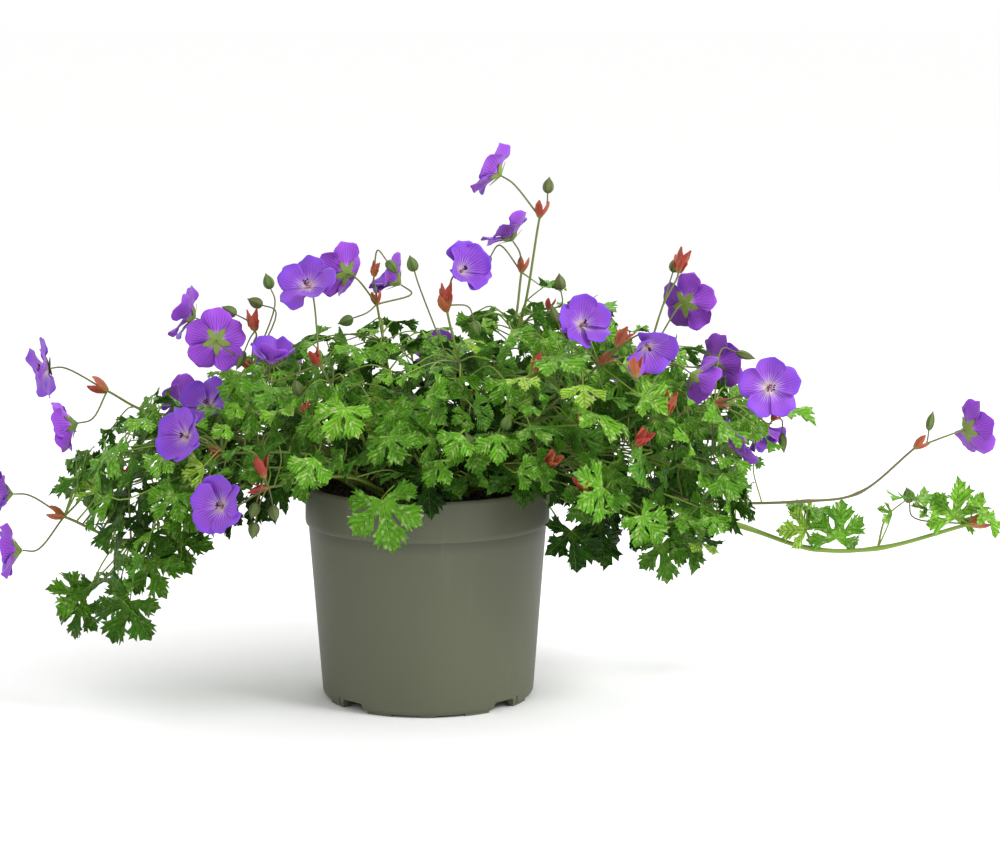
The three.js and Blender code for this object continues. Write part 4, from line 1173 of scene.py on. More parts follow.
# %% Shoots on the right
SHOOTS |= {
    "right_front": Shoot(
        (18, -16), [(72, -56, 216), (128, -84, 270)],
        blooms=[(1, (115, -94, 302), (0.5, -0.75, 0.3), 0.35, (0.35, -0.8, 0.45)),
            (1, (161, -124, 288), (0.15, -0.9, -0.2), 0.42, (0.3, -0.8, -0.45))],
        buds=[(1, (98, -70, 300), (-0.4, 0.2, 1))],
        sprays=[(1, (140, -92, 285), (0.5, -0.2, 0.8), 1.3), (1, (158, -96, 266), (0.5, -0.6, 0.5), 1.4),
            (1, (151, -146, 270), (-0.1, -0.3, 0.95), 1.2), (0, (87, -122, 200), (0.4, -0.6, 0.6), 1.3),
            (0, (117, -124, 183), (-0.3, -0.6, 0.5), 1.3),
            (0, (112, -100, 232), (0.2, -0.3, 0.9), 0.8, ((121, -104, 246), (0.1, -0.2, 0.95)))],
    ),
    "right_back": Shoot(
        (24, 6), [(100, 0, 236), (168, -12, 262)],
        blooms=[(1, (200, 4, 306), (0.7, 0.6, 0.2), 0.15, (0.5, 0.85, 0.1)),
            (1, (222, -10, 261), (0.7, 0.6, 0.1), 0.3), (1, (202, -64, 258), (0.7, 0.2, -0.5), 0.4)],
        buds=[(1, (190, 6, 330), (0.3, 0, 1))],
        leaves=[(0, (124, 6, 304), (0.8, -0.5, 0.15), 33)],
        sprays=[(1, (193, -8, 331), (0.2, -0.1, 0.95), 1.5)],
    ),
    "right_outer": Shoot(
        (28, -8), [(124, -38, 206), (216, -60, 236)],
        blooms=[(1, (253, -94, 254), (0.15, -0.97, 0.1), 0.1),
            (1, (228, -78, 208), (0.6, -0.3, 0.7), 0.35, (0.8, 0.1, 0.55)),
            (1, (264, 2, 202), (0.4, -0.2, -0.9), 0.85)],
        buds=[(1, (236, -30, 272), (0.9, 0, -0.3))],
        leaves=[(1, (272, -50, 232), (0.9, -0.4, 0), 30)],
        sprays=[(0, (177, -104, 236), (0.1, -0.2, 0.95), 1.4), (0, (153, -122, 216),
                (0.5, -0.5, 0.7), 1.3),
            (1, (262, -46, 222), (0.4, -0.2, 0.6), 0.9, ((270, -46, 212), (0.1, 0, -1)))],
    ),
    "far_right": Shoot(
        (38, 7), [(110, -14, 184), (204, -28, 158), (290, -38, 158), (330, -38, 164), (374, -32, 198)],
        blooms=[(4, (416, -30, 212), (0.95, 0.1, 0.1), 0.3, (0.8, 0.5, 0.1))],
        buds=[(4, (384, -34, 212), (0.2, 0, 1))],
        fine_leaves=[(0, (177, -80, 128), (0.15, -0.25, -0.95), 29, (0, -2, 0.4))],
    ),
    "runner": Shoot(
        (34, 17), [(106, 12, 182), (170, 6, 154), (246, -6, 132), (300, -10, 115), (350, -14, 116),
            (420, -20, 136)],
        buds=[(5, (376, -4, 150), (-0.2, 0.2, 1))],
        leaves=[(3, (300, -12, 148), (0.9, -0.45, -0.1), 37), (4, (378, -18, 156), (0.9, -0.4, 0.05), 34),
            (5, (432, -22, 146), (0.5, -0.5, -0.7), 27)],
        fine_leaves=[(3, (291, -15, 135), (-0.55, -0.2, 0.85), 27, (0, -2.4, 0.4)),
            (3, (318, -17, 130), (0.15, -0.2, 0.95), 32, (0, -2.4, 0.4)),
            (5, (409, -22, 146), (0.1, -0.3, 0.95), 32, (0, -2.4, 0.4)),
            (5, (384, -24, 149), (-0.8, -0.3, 0.35), 15, (0, -1.5, 0.8)),
            (4, (357, -24, 146), (-0.75, -0.3, 0.45), 14, (0, -1.5, 0.8))],
    ),
}  # fmt: skip
print("shoots:", len(SHOOTS))

# %% Shoots at the back
SHOOTS |= {
    "back_right": Shoot(
        (16, 22), [(84, 76, 212), (122, 108, 226)],
        blooms=[(1, (154, 126, 240), (0.6, 0.7, 0.4), 0.15), (1, (96, 146, 222), (0.1, 0.95, 0.3), 0.15)],
    ),
    "back_middle": Shoot(
        (-2, 28), [(-2, 84, 222), (4, 124, 230)],
        blooms=[(1, (10, 152, 246), (0, 0.9, 0.45), 0.15)],
        buds=[(1, (-12, 134, 250), (-0.2, 0.2, 1))],
    ),
    "back_left": Shoot(
        (-16, 22), [(-64, 76, 214), (-98, 108, 222)],
        blooms=[(1, (-120, 128, 240), (-0.5, 0.75, 0.4), 0.15)],
    ),
    "side_left": Shoot(
        (-28, 16), [(-112, 62, 200), (-164, 84, 204)],
        blooms=[(1, (-196, 96, 216), (-0.8, 0.5, 0.3), 0.15)],
    ),
}  # fmt: skip
print("shoots:", len(SHOOTS), "blooms:", sum(len(shoot.blooms) for shoot in SHOOTS.values()))

# %% Tufts
TUFTS = {
    "front": Tuft((4, -36), (-84, 46, 2, 50, 4),
        leaves=[((0, -96, 186), (0.1, -0.6, -0.75), 34), ((34, -112, 212), (0.2, -0.8, -0.5), 31)],
    ),
    "front_right": Tuft((30, -30), (-48, 50, -12, 50, 3),
        leaves=[((68, -106, 188), (0.1, -0.7, -0.7), 32), ((134, -106, 190), (0.1, -0.35, -0.92), 37),
            ((128, -122, 236), (0.3, -0.9, -0.2), 30)],
    ),
    "right": Tuft((47, -6), (-8, 48, -12, 52, 4), (16, 20, 0, 30, 2),
        leaves=[((212, -84, 190), (0.6, -0.6, -0.5), 33), ((196, -62, 132), (0.4, -0.4, -0.8), 32)],
    ),
    "back_right": Tuft((38, 30), (35, 50, -10, 52, 5), (38, 44, 4, 46, 4)),
    "back": Tuft((8, 42), (84, 56, -10, 52, 6), (88, 54, 4, 46, 3)),
    "back_left": Tuft((-30, 32), (136, 56, -10, 52, 5), (138, 44, 4, 46, 4)),
    "left": Tuft((-46, 0), (186, 54, 2, 52, 5), (168, 20, -8, 26, 2)),
    "front_left": Tuft((-36, -24), (224, 40, 8, 52, 4),
        leaves=[((-92, -122, 196), (0, -0.3, -0.95), 28)],
    ),
    "crown": Tuft((0, -2), (0, 360, 44, 84, 10)),
}  # fmt: skip
OUTER_TUFTS = [name for name in TUFTS if name != "crown"]
print("tufts:", len(TUFTS))

# %% [markdown]
# ## Directions and routes
# A leaf's own axes come from where its tip points and from the sky, leaning a little outwards. A stalk's
# route is a smooth curve through a few points. The curve is the centripetal kind, which doesn't overshoot
# where its points are unevenly spaced.

# %% Axes and curves
def unit(vector):
    vector = np.asarray(vector, float)
    return vector / np.linalg.norm(vector)


UP = np.array([0.0, 0.0, 1.0])


def leaf_axes(leaf):
    """A leaf's own axes: forward along the middle lobe, up from the blade, and sideways."""
    forward, sky = leaf["tip"], leaf["sky"]
    up = unit(sky - sky.dot(forward) * forward)
    return forward, up, np.cross(up, forward)


def flower_axes(faces):
    """A flower's axes: sideways, lift, and ahead the way it faces."""
    ahead = unit(faces)
    side = unit(np.cross(UP, ahead))
    return side, np.cross(ahead, side), ahead


def route(points, shares):
    """Places on the smooth curve through some points, at shares of the way from 0 to 1."""
    points = np.asarray(points, float)
    padded = np.vstack([2 * points[0] - points[1], points, 2 * points[-1] - points[-2]])
    spans = len(points) - 1
    place = np.asarray(shares, float) * spans
    first = np.minimum(place.astype(int), spans - 1)
    share = (place - first)[:, None]
    before, start, end, after = (padded[first + i] for i in range(4))
    gap_before, gap, gap_after = (
        np.sum((b - a) ** 2, axis=1, keepdims=True) ** 0.25
        for a, b in ((before, start), (start, end), (end, after))
    )
    leave = ((start - before) / gap_before - (end - before) / (gap_before + gap)) * gap + (end - start)
    arrive = ((after - end) / gap_after - (after - start) / (gap + gap_after)) * gap + (end - start)
    bend = 3 * (end - start) - 2 * leave - arrive
    return start + share * (leave + share * (bend + share * (2 * (start - end) + leave + arrive)))


def places_along(points, spacing=5):
    """Evenly numbered places along a route, about as far apart as asked."""
    points = np.asarray(points, float)
    length = np.linalg.norm(np.diff(points, axis=0), axis=1).sum()
    count = math.ceil(length / spacing)
    return route(points, np.arange(count + 1) / count)


print("a stem's middle:", route(SHOOTS["crest"].points(), [0.5]).round(1).tolist())

# %% Stalk routes
STRAIGHT_STALK, STRAIGHT_PETIOLE, PETIOLE_RISE, RIM_CLEAR = 11, 7, 0.12, 187
CROWDED_START = 8


def stalk_points(start, at, ahead, sunk):
    """A flower or bud stalk: it ends straight along the way the flower faces."""
    at = np.asarray(at, float)
    return [np.asarray(start, float), at - STRAIGHT_STALK * ahead, at + sunk * ahead]


def petiole_points(start, leaf):
    """A leaf stalk: up from its start, over, and square into the blade from below."""
    start = np.asarray(start, float)
    up = leaf_axes(leaf)[1]
    end = leaf["at"] - 0.15 * up
    middle = (start + end) / 2
    middle[2] += PETIOLE_RISE * np.linalg.norm(end - start)
    if leaf.get("over_rim"):
        middle[2] = max(middle[2], RIM_CLEAR)
    return [start, middle, end - STRAIGHT_PETIOLE * up, end]


def free_stalk(start, leaf):
    """A leaf stalk's places past the crowded start."""
    places = places_along(petiole_points(start, leaf))
    return places[np.linalg.norm(places - start, axis=1) > CROWDED_START]


def new_leaf(at, tip, size, light=(0, 0, 0), **more):
    """A leaf. It faces the sky and a little outwards, and also the light that it is told of."""
    sky = 0.6 * unit((at[0], at[1], 0)) + UP + light
    return {"at": np.asarray(at, float), "tip": unit(tip), "size": size, "sky": sky, **more}


sample_leaf = new_leaf((0, -100, 200), (0, -1, -0.5), 30)
print("places on a leaf's stalk:", len(free_stalk((0, 0, STEM_START), sample_leaf)))

# %% [markdown]
# ## Finding room for the dome's leaves
# Leaves on a living mound don't cross: each grows into a free gap. The rule here draws a random place on
# the dome, and keeps the leaf only where its blade and stalk clear all that is there. The seed is fixed, so
# that each run gives the same plant, and the same one that the solids have.

# %% Random leaves on the dome
SMALL_LEAF = 24
DOME = {"middle": (4, 0, 150), "half": (162, 132, 128), "inner": 0.72, "outer": 1.02, "leaf_size": 30}
SKIRT = {"middle": (0, 0, 165), "half": (244, 130, 112), "inner": 0.86, "outer": 1, "leaf_size": 33}
POT_CLEAR_RADIUS, POT_CLEAR_TOP, SOIL_CLEAR_RADIUS, SOIL_CLEAR_TOP = 101, 175, 84, 168
YAW_SPREAD, SIZE_SPREAD, TOP_SLOPE, SIDE_SLOPE = 80, 9, 12, 62


def seeded(seed):
    """Random numbers from 0 to 1, always the same for a seed."""
    state = seed
    while True:
        state = (state * 1664525 + 1013904223) % 4294967296
        yield state / 4294967296


def lobes_of(leaf):
    return LOBES[1:4] if leaf["size"] < SMALL_LEAF else LOBES


def on_blade(leaf, polar):
    """Places on a drooping blade, from pairs of angle and reach round the stalk's end."""
    forward, up, side = leaf_axes(leaf)
    angles, reaches = np.array(polar, float).T
    angles, size = np.radians(angles), leaf["size"]
    ahead = (reaches * np.cos(angles) - BLADE_BASE) * size
    return (
        leaf["at"]
        + ahead[:, None] * forward
        + (reaches * np.sin(angles) * size)[:, None] * side
        - (BLADE_DROOP * reaches**2 * size)[:, None] * up
    )


def blade_places(leaf):
    """Places over a blade, which stand for it when room is looked for."""
    polar = [(0, 0)]
    for angle, reach in lobes_of(leaf):
        polar += [(angle, share * reach) for share in (0.4, 0.7, 1)]
        polar += [(angle + turn, 0.68 * reach) for turn in (-19, 19)]
    return on_blade(leaf, polar)


def tip_way(slope, yaw):
    """The way of a tip that points down at this slope."""
    return math.cos(slope) * math.cos(yaw), math.cos(slope) * math.sin(yaw), -math.sin(slope)


def random_leaf(part, form, draw):
    """A leaf at a random place in one part of the dome or of the skirt."""
    azimuth, spread, low, high, _ = part
    azimuth = math.radians(azimuth + (next(draw) - 0.5) * spread)
    elevation = math.radians(low + next(draw) * (high - low))
    depth = form["inner"] + next(draw) * (form["outer"] - form["inner"])
    yaw = azimuth + math.radians((next(draw) - 0.5) * YAW_SPREAD)
    size = form["leaf_size"] + next(draw) * SIZE_SPREAD
    level = math.cos(elevation)
    slope = math.radians(TOP_SLOPE + (SIDE_SLOPE - TOP_SLOPE) * level * level)
    ray = np.array([level * math.cos(azimuth), level * math.sin(azimuth), math.sin(elevation)])
    at = form["middle"] + depth * np.array(form["half"]) * ray
    return new_leaf(at, tip_way(slope, yaw), size, over_rim=math.hypot(at[0], at[1]) > RIM_RADIUS)


print("places over a leaf's blade:", len(blade_places(sample_leaf)))

# %% The room that the shoots take
FLOWER_RINGS = [(13.475, 3.4), (24.5, 6)]


def clear_of_pot(places):
    distance = np.hypot(places[:, 0], places[:, 1])
    top = np.where(distance > SOIL_CLEAR_RADIUS, POT_CLEAR_TOP, SOIL_CLEAR_TOP)
    return bool(np.all((distance > POT_CLEAR_RADIUS) | (places[:, 2] > top)))


def is_clear(places, others, distance):
    if len(others) == 0:
        return True
    gaps = places[:, None, :] - others[None, :, :]
    return bool(np.all(np.einsum("ijk,ijk->ij", gaps, gaps) > distance**2))


def corolla_places(at, faces):
    """Places over an open flower."""
    side, lift, ahead = flower_axes(faces)
    turns = np.radians(36 * np.arange(10))
    ring = np.cos(turns)[:, None] * side + np.sin(turns)[:, None] * lift
    at = np.asarray(at, float)
    return np.vstack([at, *(at + radius * ring + rise * ahead for radius, rise in FLOWER_RINGS)])


def own_leaves(shoot):
    """The set leaves of a shoot, with the stem point that each leaves from."""
    return [(shoot.stem[start], new_leaf(*leaf)) for start, *leaf in shoot.leaves]


def shoot_places():
    """All places that flowering shoots take."""
    taken = []
    for shoot in SHOOTS.values():
        taken.append(places_along(shoot.points()))
        for start, at, faces, *_ in shoot.blooms:
            taken.append(places_along(stalk_points(shoot.stem[start], at, flower_axes(faces)[2], 0)))
            taken.append(corolla_places(at, faces))
        for start, at, points in shoot.buds:
            taken.append(places_along(stalk_points(shoot.stem[start], at, unit(points), BUD_LENGTH)))
        for start, leaf in own_leaves(shoot):
            taken.append(blade_places(leaf))
            taken.append(places_along(petiole_points(start, leaf)))
    return np.vstack(taken)


shoot_room = shoot_places()
print("places taken by shoots:", len(shoot_room))

# %% Settle the dome's leaves
BLADE_GAP, STALK_GAP, DOME_TRIES = 9, 4.8, 400


def leaves_of_tufts():
    """The leaves of every tuft: those with a set place, then those that fit on the dome and the skirt."""
    leaves, room = {}, {name: [np.empty((0, 3))] for name in TUFTS}

    def settle(name, leaf):
        room[name] += [blade_places(leaf), free_stalk(TUFTS[name].start(), leaf)]

    for name, tuft in TUFTS.items():
        leaves[name] = [new_leaf(*leaf, over_rim=True) for leaf in tuft.leaves]
        for leaf in leaves[name]:
            settle(name, leaf)
    draw = seeded(42)
    parts = [(name, tuft.dome, DOME) for name, tuft in TUFTS.items()]
    parts += [(name, tuft.skirt, SKIRT) for name, tuft in TUFTS.items() if tuft.skirt]
    for name, part, form in parts:
        wanted = len(leaves[name]) + part[4]
        others = np.vstack([shoot_room, *(np.vstack(room[other]) for other in TUFTS if other != name)])
        for _ in range(DOME_TRIES):
            if len(leaves[name]) == wanted:
                break
            leaf = random_leaf(part, form, draw)
            blade, stalk = blade_places(leaf), free_stalk(TUFTS[name].start(), leaf)
            if (
                clear_of_pot(blade)
                and clear_of_pot(stalk)
                and is_clear(blade, others, BLADE_GAP)
                and is_clear(blade, np.vstack(room[name]), BLADE_GAP)
                and is_clear(stalk, others, STALK_GAP)
            ):
                leaves[name].append(leaf)
                settle(name, leaf)
    return leaves


tuft_leaves = leaves_of_tufts()
print("dome leaves:", {name: len(leaves) for name, leaves in tuft_leaves.items()})

# %% [markdown]
# ## Filling the mound
# The solids have only the main leaves. A real mound has several hundred, from young ones deep inside to
# small ones at the forks. The space is cut into small cubes, and each new leaf has to find cubes that are
# still free. This is quicker than measuring distances, so hundreds of tries cost little. Two given
# lines, one above and one below, keep the new leaves within the mound's outline.

# %% Space in small cubes
class Room:
    """Which small cubes of the plant's space are taken."""

    CUBE = 3.0
    LOW = np.array([-360.0, -190.0, 0.0])

    def __init__(self):
        self.taken = np.zeros((280, 130, 160), bool)

    def cubes(self, places):
        return ((np.asarray(places) - self.LOW) / self.CUBE).astype(int)

    def is_free(self, places):
        return not self.taken[tuple(self.cubes(places).T)].any()

    def take(self, places, spread=1):
        """Takes the cubes of some places, and those around them up to this many steps away."""
        steps = np.arange(-spread, spread + 1)
        for step in np.array(np.meshgrid(steps, steps, steps)).reshape(3, -1).T:
            if np.abs(step).sum() <= spread:
                self.taken[tuple((self.cubes(places) + step).T)] = True


def dense_places(leaf):
    """Closely spaced places over a blade."""
    polar = [(0, 0)]
    for angle, reach in lobes_of(leaf):
        for share in (0.15, 0.3, 0.45, 0.6, 0.75, 0.9, 1.0):
            swings = (-22, -11, 0, 11, 22) if share < 0.8 else (-10, 0, 10) if share < 1 else (0,)
            polar += [(angle + swing, share * reach) for swing in swings]
    return on_blade(leaf, polar)


room = Room()
room.take(shoot_room)
for name, leaves in tuft_leaves.items():
    for leaf in leaves:
        room.take(dense_places(leaf))
        room.take(free_stalk(TUFTS[name].start(), leaf), 0)
print("cubes taken:", int(room.taken.sum()))

# %% The mound's outline
ABOVE = [(-284, 180), (-245, 216), (-229, 238), (-190, 243), (-163, 256), (-136, 277), (-74, 293)]
ABOVE += [(26, 299), (57, 308), (134, 314), (165, 292), (211, 278), (258, 236), (270, 232)]
BELOW = [(-284, 150), (-262, 140), (-241, 106), (-228, 82), (-204, 86), (-176, 106), (-149, 124)]
BELOW += [(-131, 144), (-119, 164), (0, 158), (34, 150), (93, 142), (104, 118), (136, 108)]
BELOW += [(206, 104), (231, 110), (248, 140), (262, 205)]
HALF_DEPTH, HALF_SPREAD, FORWARD_TILT, BOW_BASE = 156, 345, 0.158, 150


def within_mound(places):
    """Whether all places lie between the mound's two lines and under its rounded top."""
    x, y, z = places.T
    depth = HALF_DEPTH * np.sqrt(np.clip(1 - (x / HALF_SPREAD) ** 2, 0.04, 1))
    top, bottom = (np.interp(x, *zip(*line)) for line in (ABOVE, BELOW))
    bow = np.sqrt(np.clip(1 - (y / (depth + 25)) ** 2, 0, 1))
    seen = z + FORWARD_TILT * y
    between_lines = (seen < top) & (seen > bottom)
    under_bow = (z < BOW_BASE + (top - BOW_BASE) * bow) & (np.abs(y - 4) < depth)
    return bool((between_lines & under_bow).all())


print("points of the mound's lines:", len(ABOVE), len(BELOW))

# %% More leaves, each on the nearest stem
STEM_REACH, STEM_GAP, BARE_STEM, HIGH_STEM = 62, 13, 40, 215
CROWN_HEIGHT, CROWN_RADIUS = 235, 90
shoot_leaves = {
    name: [(np.array(shoot.stem[start], float), new_leaf(*leaf)) for start, *leaf in shoot.fine_leaves]
    for name, shoot in SHOOTS.items()
}
stem_spots = [
    (name, place)
    for name, shoot in SHOOTS.items()
    for place in places_along(shoot.points(), 6)
    if np.linalg.norm(place[:2] - shoot.foot) > BARE_STEM or place[2] > HIGH_STEM
]
stem_places = np.array([place for _, place in stem_spots])


def nearest_start(at):
    """Where a leaf's stalk should leave from: a stem close by, or else the closest tuft."""
    distance = np.linalg.norm(stem_places - at, axis=1)
    distance += np.maximum(0, stem_places[:, 2] - at[2]) * 0.5
    distance[distance < STEM_GAP] = np.inf
    closest = int(distance.argmin())
    if distance[closest] < STEM_REACH:
        return shoot_leaves, *stem_spots[closest]
    bearing = math.degrees(math.atan2(at[1], at[0]))
    name = min(OUTER_TUFTS, key=lambda name: abs((TUFTS[name].dome[0] - bearing + 180) % 360 - 180))
    if at[2] > CROWN_HEIGHT and np.hypot(at[0], at[1]) < CROWN_RADIUS:
        name = "crown"
    return tuft_leaves, name, TUFTS[name].start()


def settle_if_free(leaf, start):
    """Takes room for a leaf, or says that there is none for it and its stalk."""
    blade = dense_places(leaf)
    if not (within_mound(blade) and clear_of_pot(blade) and room.is_free(blade)):
        return False
    if not clear_of_pot(free_stalk(start, leaf)):
        return False
    room.take(blade)
    return True


print("places where a leaf can leave a stem:", len(stem_spots))

# %% Fill the mound
def between(draw, low, high):
    return low + (high - low) * next(draw)


def mound_leaf(draw, sizes, depths, heights):
    """A leaf at a random place in the mound, which faces outwards and up in its own way."""
    x = between(draw, -275, 255)
    y = 150 * math.sqrt(1 - (x / HALF_SPREAD) ** 2) * between(draw, *depths)
    low, high = (float(np.interp(x, *zip(*line))) for line in (BELOW, ABOVE))
    z = low + (high - low) * between(draw, *heights) - FORWARD_TILT * y
    yaw = math.atan2(y, 0.55 * x) + (next(draw) - 0.5) * 2.6
    slope = math.radians(-20 + 85 * next(draw))
    light = np.array([next(draw) - 0.5, next(draw) - 0.6, next(draw) - 0.5]) * 3
    return new_leaf((x, y, z), tip_way(slope, yaw), between(draw, *sizes), light)


ROUNDS = [
    # sizes, how far to the front or back, how high, the tries, and the most that are kept
    ((21, 31), (-1, -0.6), (0.05, 0.95), 4000, 90),
    ((16, 25), (-0.6, 0.6), (0.75, 1), 4000, 90),
    ((26, 34), (-1, 1), (0, 1), 4000, 110),
    ((18, 26), (-1, 1), (0, 1), 5000, 170),
    ((12, 18), (-1, 1), (0, 1), 5000, 150),
]
filler_draw = seeded(2026)
for sizes, depths, heights, tries, most in ROUNDS:
    settled = 0
    for _ in range(tries):
        if settled == most:
            break
        leaf = mound_leaf(filler_draw, sizes, depths, heights)
        leaves_of, name, start = nearest_start(leaf["at"])
        if settle_if_free(leaf, start):
            leaves_of[name].append((start, leaf) if leaves_of is shoot_leaves else leaf)
            settled += 1
    print("sizes", sizes, "leaves added:", settled)

# %% [markdown]
# ## Growing a leafy piece
# Each leafy piece starts as a sprig: polylines where stalks run, and loose points where leaves, buds,
# calyces and bracts sit, each with its turn, size and kind. One Geometry Nodes tree turns any sprig into a
# plant: it sweeps a small ring along the lines, thin where the line says so, and puts a mould on every
# point. Doing this in nodes means that one tree serves all stems and tufts.

# %% Sprigs
LEAF, CALYX, BRACT, BLOOM = 1, 2, 3, 4


class Sprig:
    """What a piece grows from: stalk lines and the points that carry something. Millimetres go in."""

    def __init__(self):
        self.rows, self.edges = [], []

    def stalk(self, points, count, thick, thin, tint=(0.2, 0.6), knots=()):
        """A line with a radius and a blush that change evenly from its start to its end."""
        first = len(self.rows)
        shares = np.linspace(0, 1, count)
        for share, place in zip(shares, route(points, shares)):
            swelling = sum(0.5 * math.exp(-(((share - knot) * 40) ** 2)) for knot in knots)
            radius = thick + (thin - thick) * share + swelling
            blush = tint[0] + (tint[1] - tint[0]) * share
            self.rows.append((place * MM, 0, 0, (1, 0, 0, 0), 1.0, radius * MM, blush))
        self.edges += [(i, i + 1) for i in range(first, len(self.rows) - 1)]

    def set(self, kind, mould, at, axes, size, tint):
        """A mould at a place, with its own X, Y and Z along three given axes."""
        turn = Matrix([list(axis) for axis in axes]).transposed().to_quaternion()
        self.rows.append((np.asarray(at) * MM, kind, mould, tuple(turn), size, 0.0, tint))

    def mesh(self):
        """The sprig as a mesh of edges and loose points."""
        places, *columns = zip(*self.rows)
        mesh = bpy.data.meshes.new("sprig")
        mesh.from_pydata([tuple(place) for place in places], self.edges, [])
        kinds = {"kind": "INT", "mould": "INT", "turn": "QUATERNION", "size": "FLOAT", "thick": "FLOAT"}
        kinds["tint"] = "FLOAT"
        for (name, kind), values in zip(kinds.items(), columns):
            carry(mesh, name, kind, values)
        return mesh


print("what a sprig's point can carry:", LEAF, CALYX, BRACT, BLOOM)

# %% The tree that grows any sprig
leafy = Growth("leafy growth", Stalk_sides="Int")


def moulds_of_kind(kind, box, finish):
    """The moulds of one kind, on the points of that kind."""
    instances = leafy.moulds_on(
        leafy.port["Geometry"],
        box,
        Selection=leafy.carried("kind", "INT").maths("COMPARE", kind, 0.1),
        Instance_Index=leafy.carried("mould", "INT"),
        Rotation=leafy.carried("turn", "QUATERNION"),
        Scale=leafy.carried("size"),
    )
    return leafy.finished(instances, finish)


sides = {"Resolution": leafy.port["Stalk sides"], "Radius": 1.0}
sweep = {"Fill Caps": True, "Scale": leafy.carried("thick")}
sweep["Profile Curve"] = leafy.node("GeometryNodeCurvePrimitiveCircle", inputs=sides)
sweep["Curve"] = leafy.node("GeometryNodeMeshToCurve", inputs={"Mesh": leafy.port["Geometry"]})
leafy.end(
    leafy.finished(leafy.node("GeometryNodeCurveToMesh", inputs=sweep), stalk_finish),
    moulds_of_kind(LEAF, leaf_box, leaf_finish),
    moulds_of_kind(CALYX, calyx_box, calyx_finish),
    moulds_of_kind(BRACT, bract_box, bract_finish),
)
print("nodes in the growth tree:", len(leafy.tree.nodes))

# %% Grow a piece
LONG_PETIOLE = 70
leaf_random = np.random.default_rng(11)


def leafy_piece(name, sprig, node):
    """Grows a sprig into a plain piece that stands for one solid."""
    piece = shown(name, leafy.grown(sprig.mesh(), Stalk_sides=7))
    hand_over(piece, "foliage", node)
    print(piece.name, len(piece.data.polygons), "faces")


def leaf_shade(leaf):
    """How light a leaf is painted, 0 to 1: painted shade, lighter far out or high, plus a random part. Some
    small ones are lime.
    """
    out = np.linalg.norm((np.array(leaf["at"]) - (0, 0, 150)) / (250, 140, 140))
    # painted shade: leaves deep in the mound or low down are darker, those far out or high lighter
    shade = 1.1 * out - 0.62 + (leaf["at"][2] - 210) / 350 + leaf_random.uniform(-0.28, 0.3)
    if leaf_random.random() < 0.09 and leaf["size"] < 29:
        return leaf_random.uniform(0.85, 1.0)
    return float(np.clip(shade, 0.02, 0.85))


def add_leaf(sprig, start, leaf):
    """A blade and its stalk, which comes to the base of the blade from below."""
    forward, up, side = leaf_axes(leaf)
    size, shade = leaf["size"], leaf_shade(leaf)
    mould = int(leaf_random.integers(*(SMALL_LEAVES if size < SMALL_LEAF else FULL_LEAVES)))
    sprig.set(LEAF, mould, leaf["at"], (-side, forward, up), size * MM, shade)
    base = leaf["at"] - BLADE_BASE * size * forward
    distance = np.linalg.norm(base - start)
    if distance > LONG_PETIOLE:
        points = petiole_points(start, leaf)[:2] + [base - 7 * up - 5 * forward, base + 0.1 * up]
    else:
        middle = (start + base) / 2 + distance * (0.16 * UP - 0.12 * forward - 0.06 * up)
        points = [start, middle, base + 0.1 * up]
    sprig.stalk(points, 12, min(0.9, 0.4 + size / 60), 0.5, (0.3, 0.05))


print("leaves with a longer stalk than", LONG_PETIOLE, "mm rise over the others")

# %% Forks, buds and sprays
def add_bracts(sprig, at, ahead, size=None, back=0):
    """Red bracts that stand round a stem."""
    aside = unit(np.cross(ahead, (0.3, -1, 0.1)))
    mould = int(leaf_random.integers(0, 3))
    size = size or leaf_random.uniform(0.9, 1.3)
    worn = leaf_random.uniform(0, 1)
    sprig.set(BRACT, mould, at - back * ahead, (aside, np.cross(ahead, aside), ahead), size, worn)


def add_fork(sprig, stem, start):
    """The bracts that stand at a fork, in line with the stem."""
    share = (start + 1) / (len(stem) - 1)
    below, at = route(stem, [max(0, share - 0.04), share])
    add_bracts(sprig, at, unit(at - below), back=0.5)


def add_bud(sprig, start, at, points):
    axes = flower_axes(points)
    sprig.stalk(stalk_points(start, at, axes[2], 1), 14, 0.7, 0.55, (0.5, 0.8))
    mould = FAT_BUD if leaf_random.random() < 0.65 else SLIM_BUD
    sprig.set(CALYX, mould, at, axes, 1.0, leaf_random.uniform(0, 0.9))


def add_spray(sprig, start, at, ahead, size, *buds):
    """A side stalk with its bracts, and the buds that hang or stand beyond them."""
    start, at, ahead = np.array(start, float), np.array(at, float), unit(ahead)
    rise = start + 0.55 * (at - start) + 0.1 * np.linalg.norm(at - start) * UP
    sprig.stalk([start, rise, at - 4 * ahead, at], 14, 0.9, 0.7, (0.35, 0.7))
    add_bracts(sprig, at, ahead, size)
    for bud_at, points in buds:
        add_bud(sprig, at, bud_at, points)


print("sprays:", sum(len(shoot.sprays) for shoot in SHOOTS.values()))

# %% [markdown]
# ## How far each flower is open
# Young flowers are still cupped and old ones lie flat. A cupped flower reaches further ahead, so it sits a
# little further back on its stalk, and its petals stay near the solid's. A flower that has turned keeps its
# place.

# %% Cup and turn of each flower
CUP_SHIFT, FLAT_CUP = 16, 0.05


def opened(shoot):
    """Each flower of a shoot: its number, its stem point, its seat, the way it faces and its cup."""
    for number, (start, at, faces, cup, *since) in enumerate(shoot.blooms, 1):
        faces = since[0] if since else faces
        seat = np.asarray(at, float) - CUP_SHIFT * (cup - FLAT_CUP) * flower_axes(faces)[2]
        yield number, start, seat, faces, cup


print("most cupped:", max(cup for shoot in SHOOTS.values() for *_, cup in opened(shoot)))

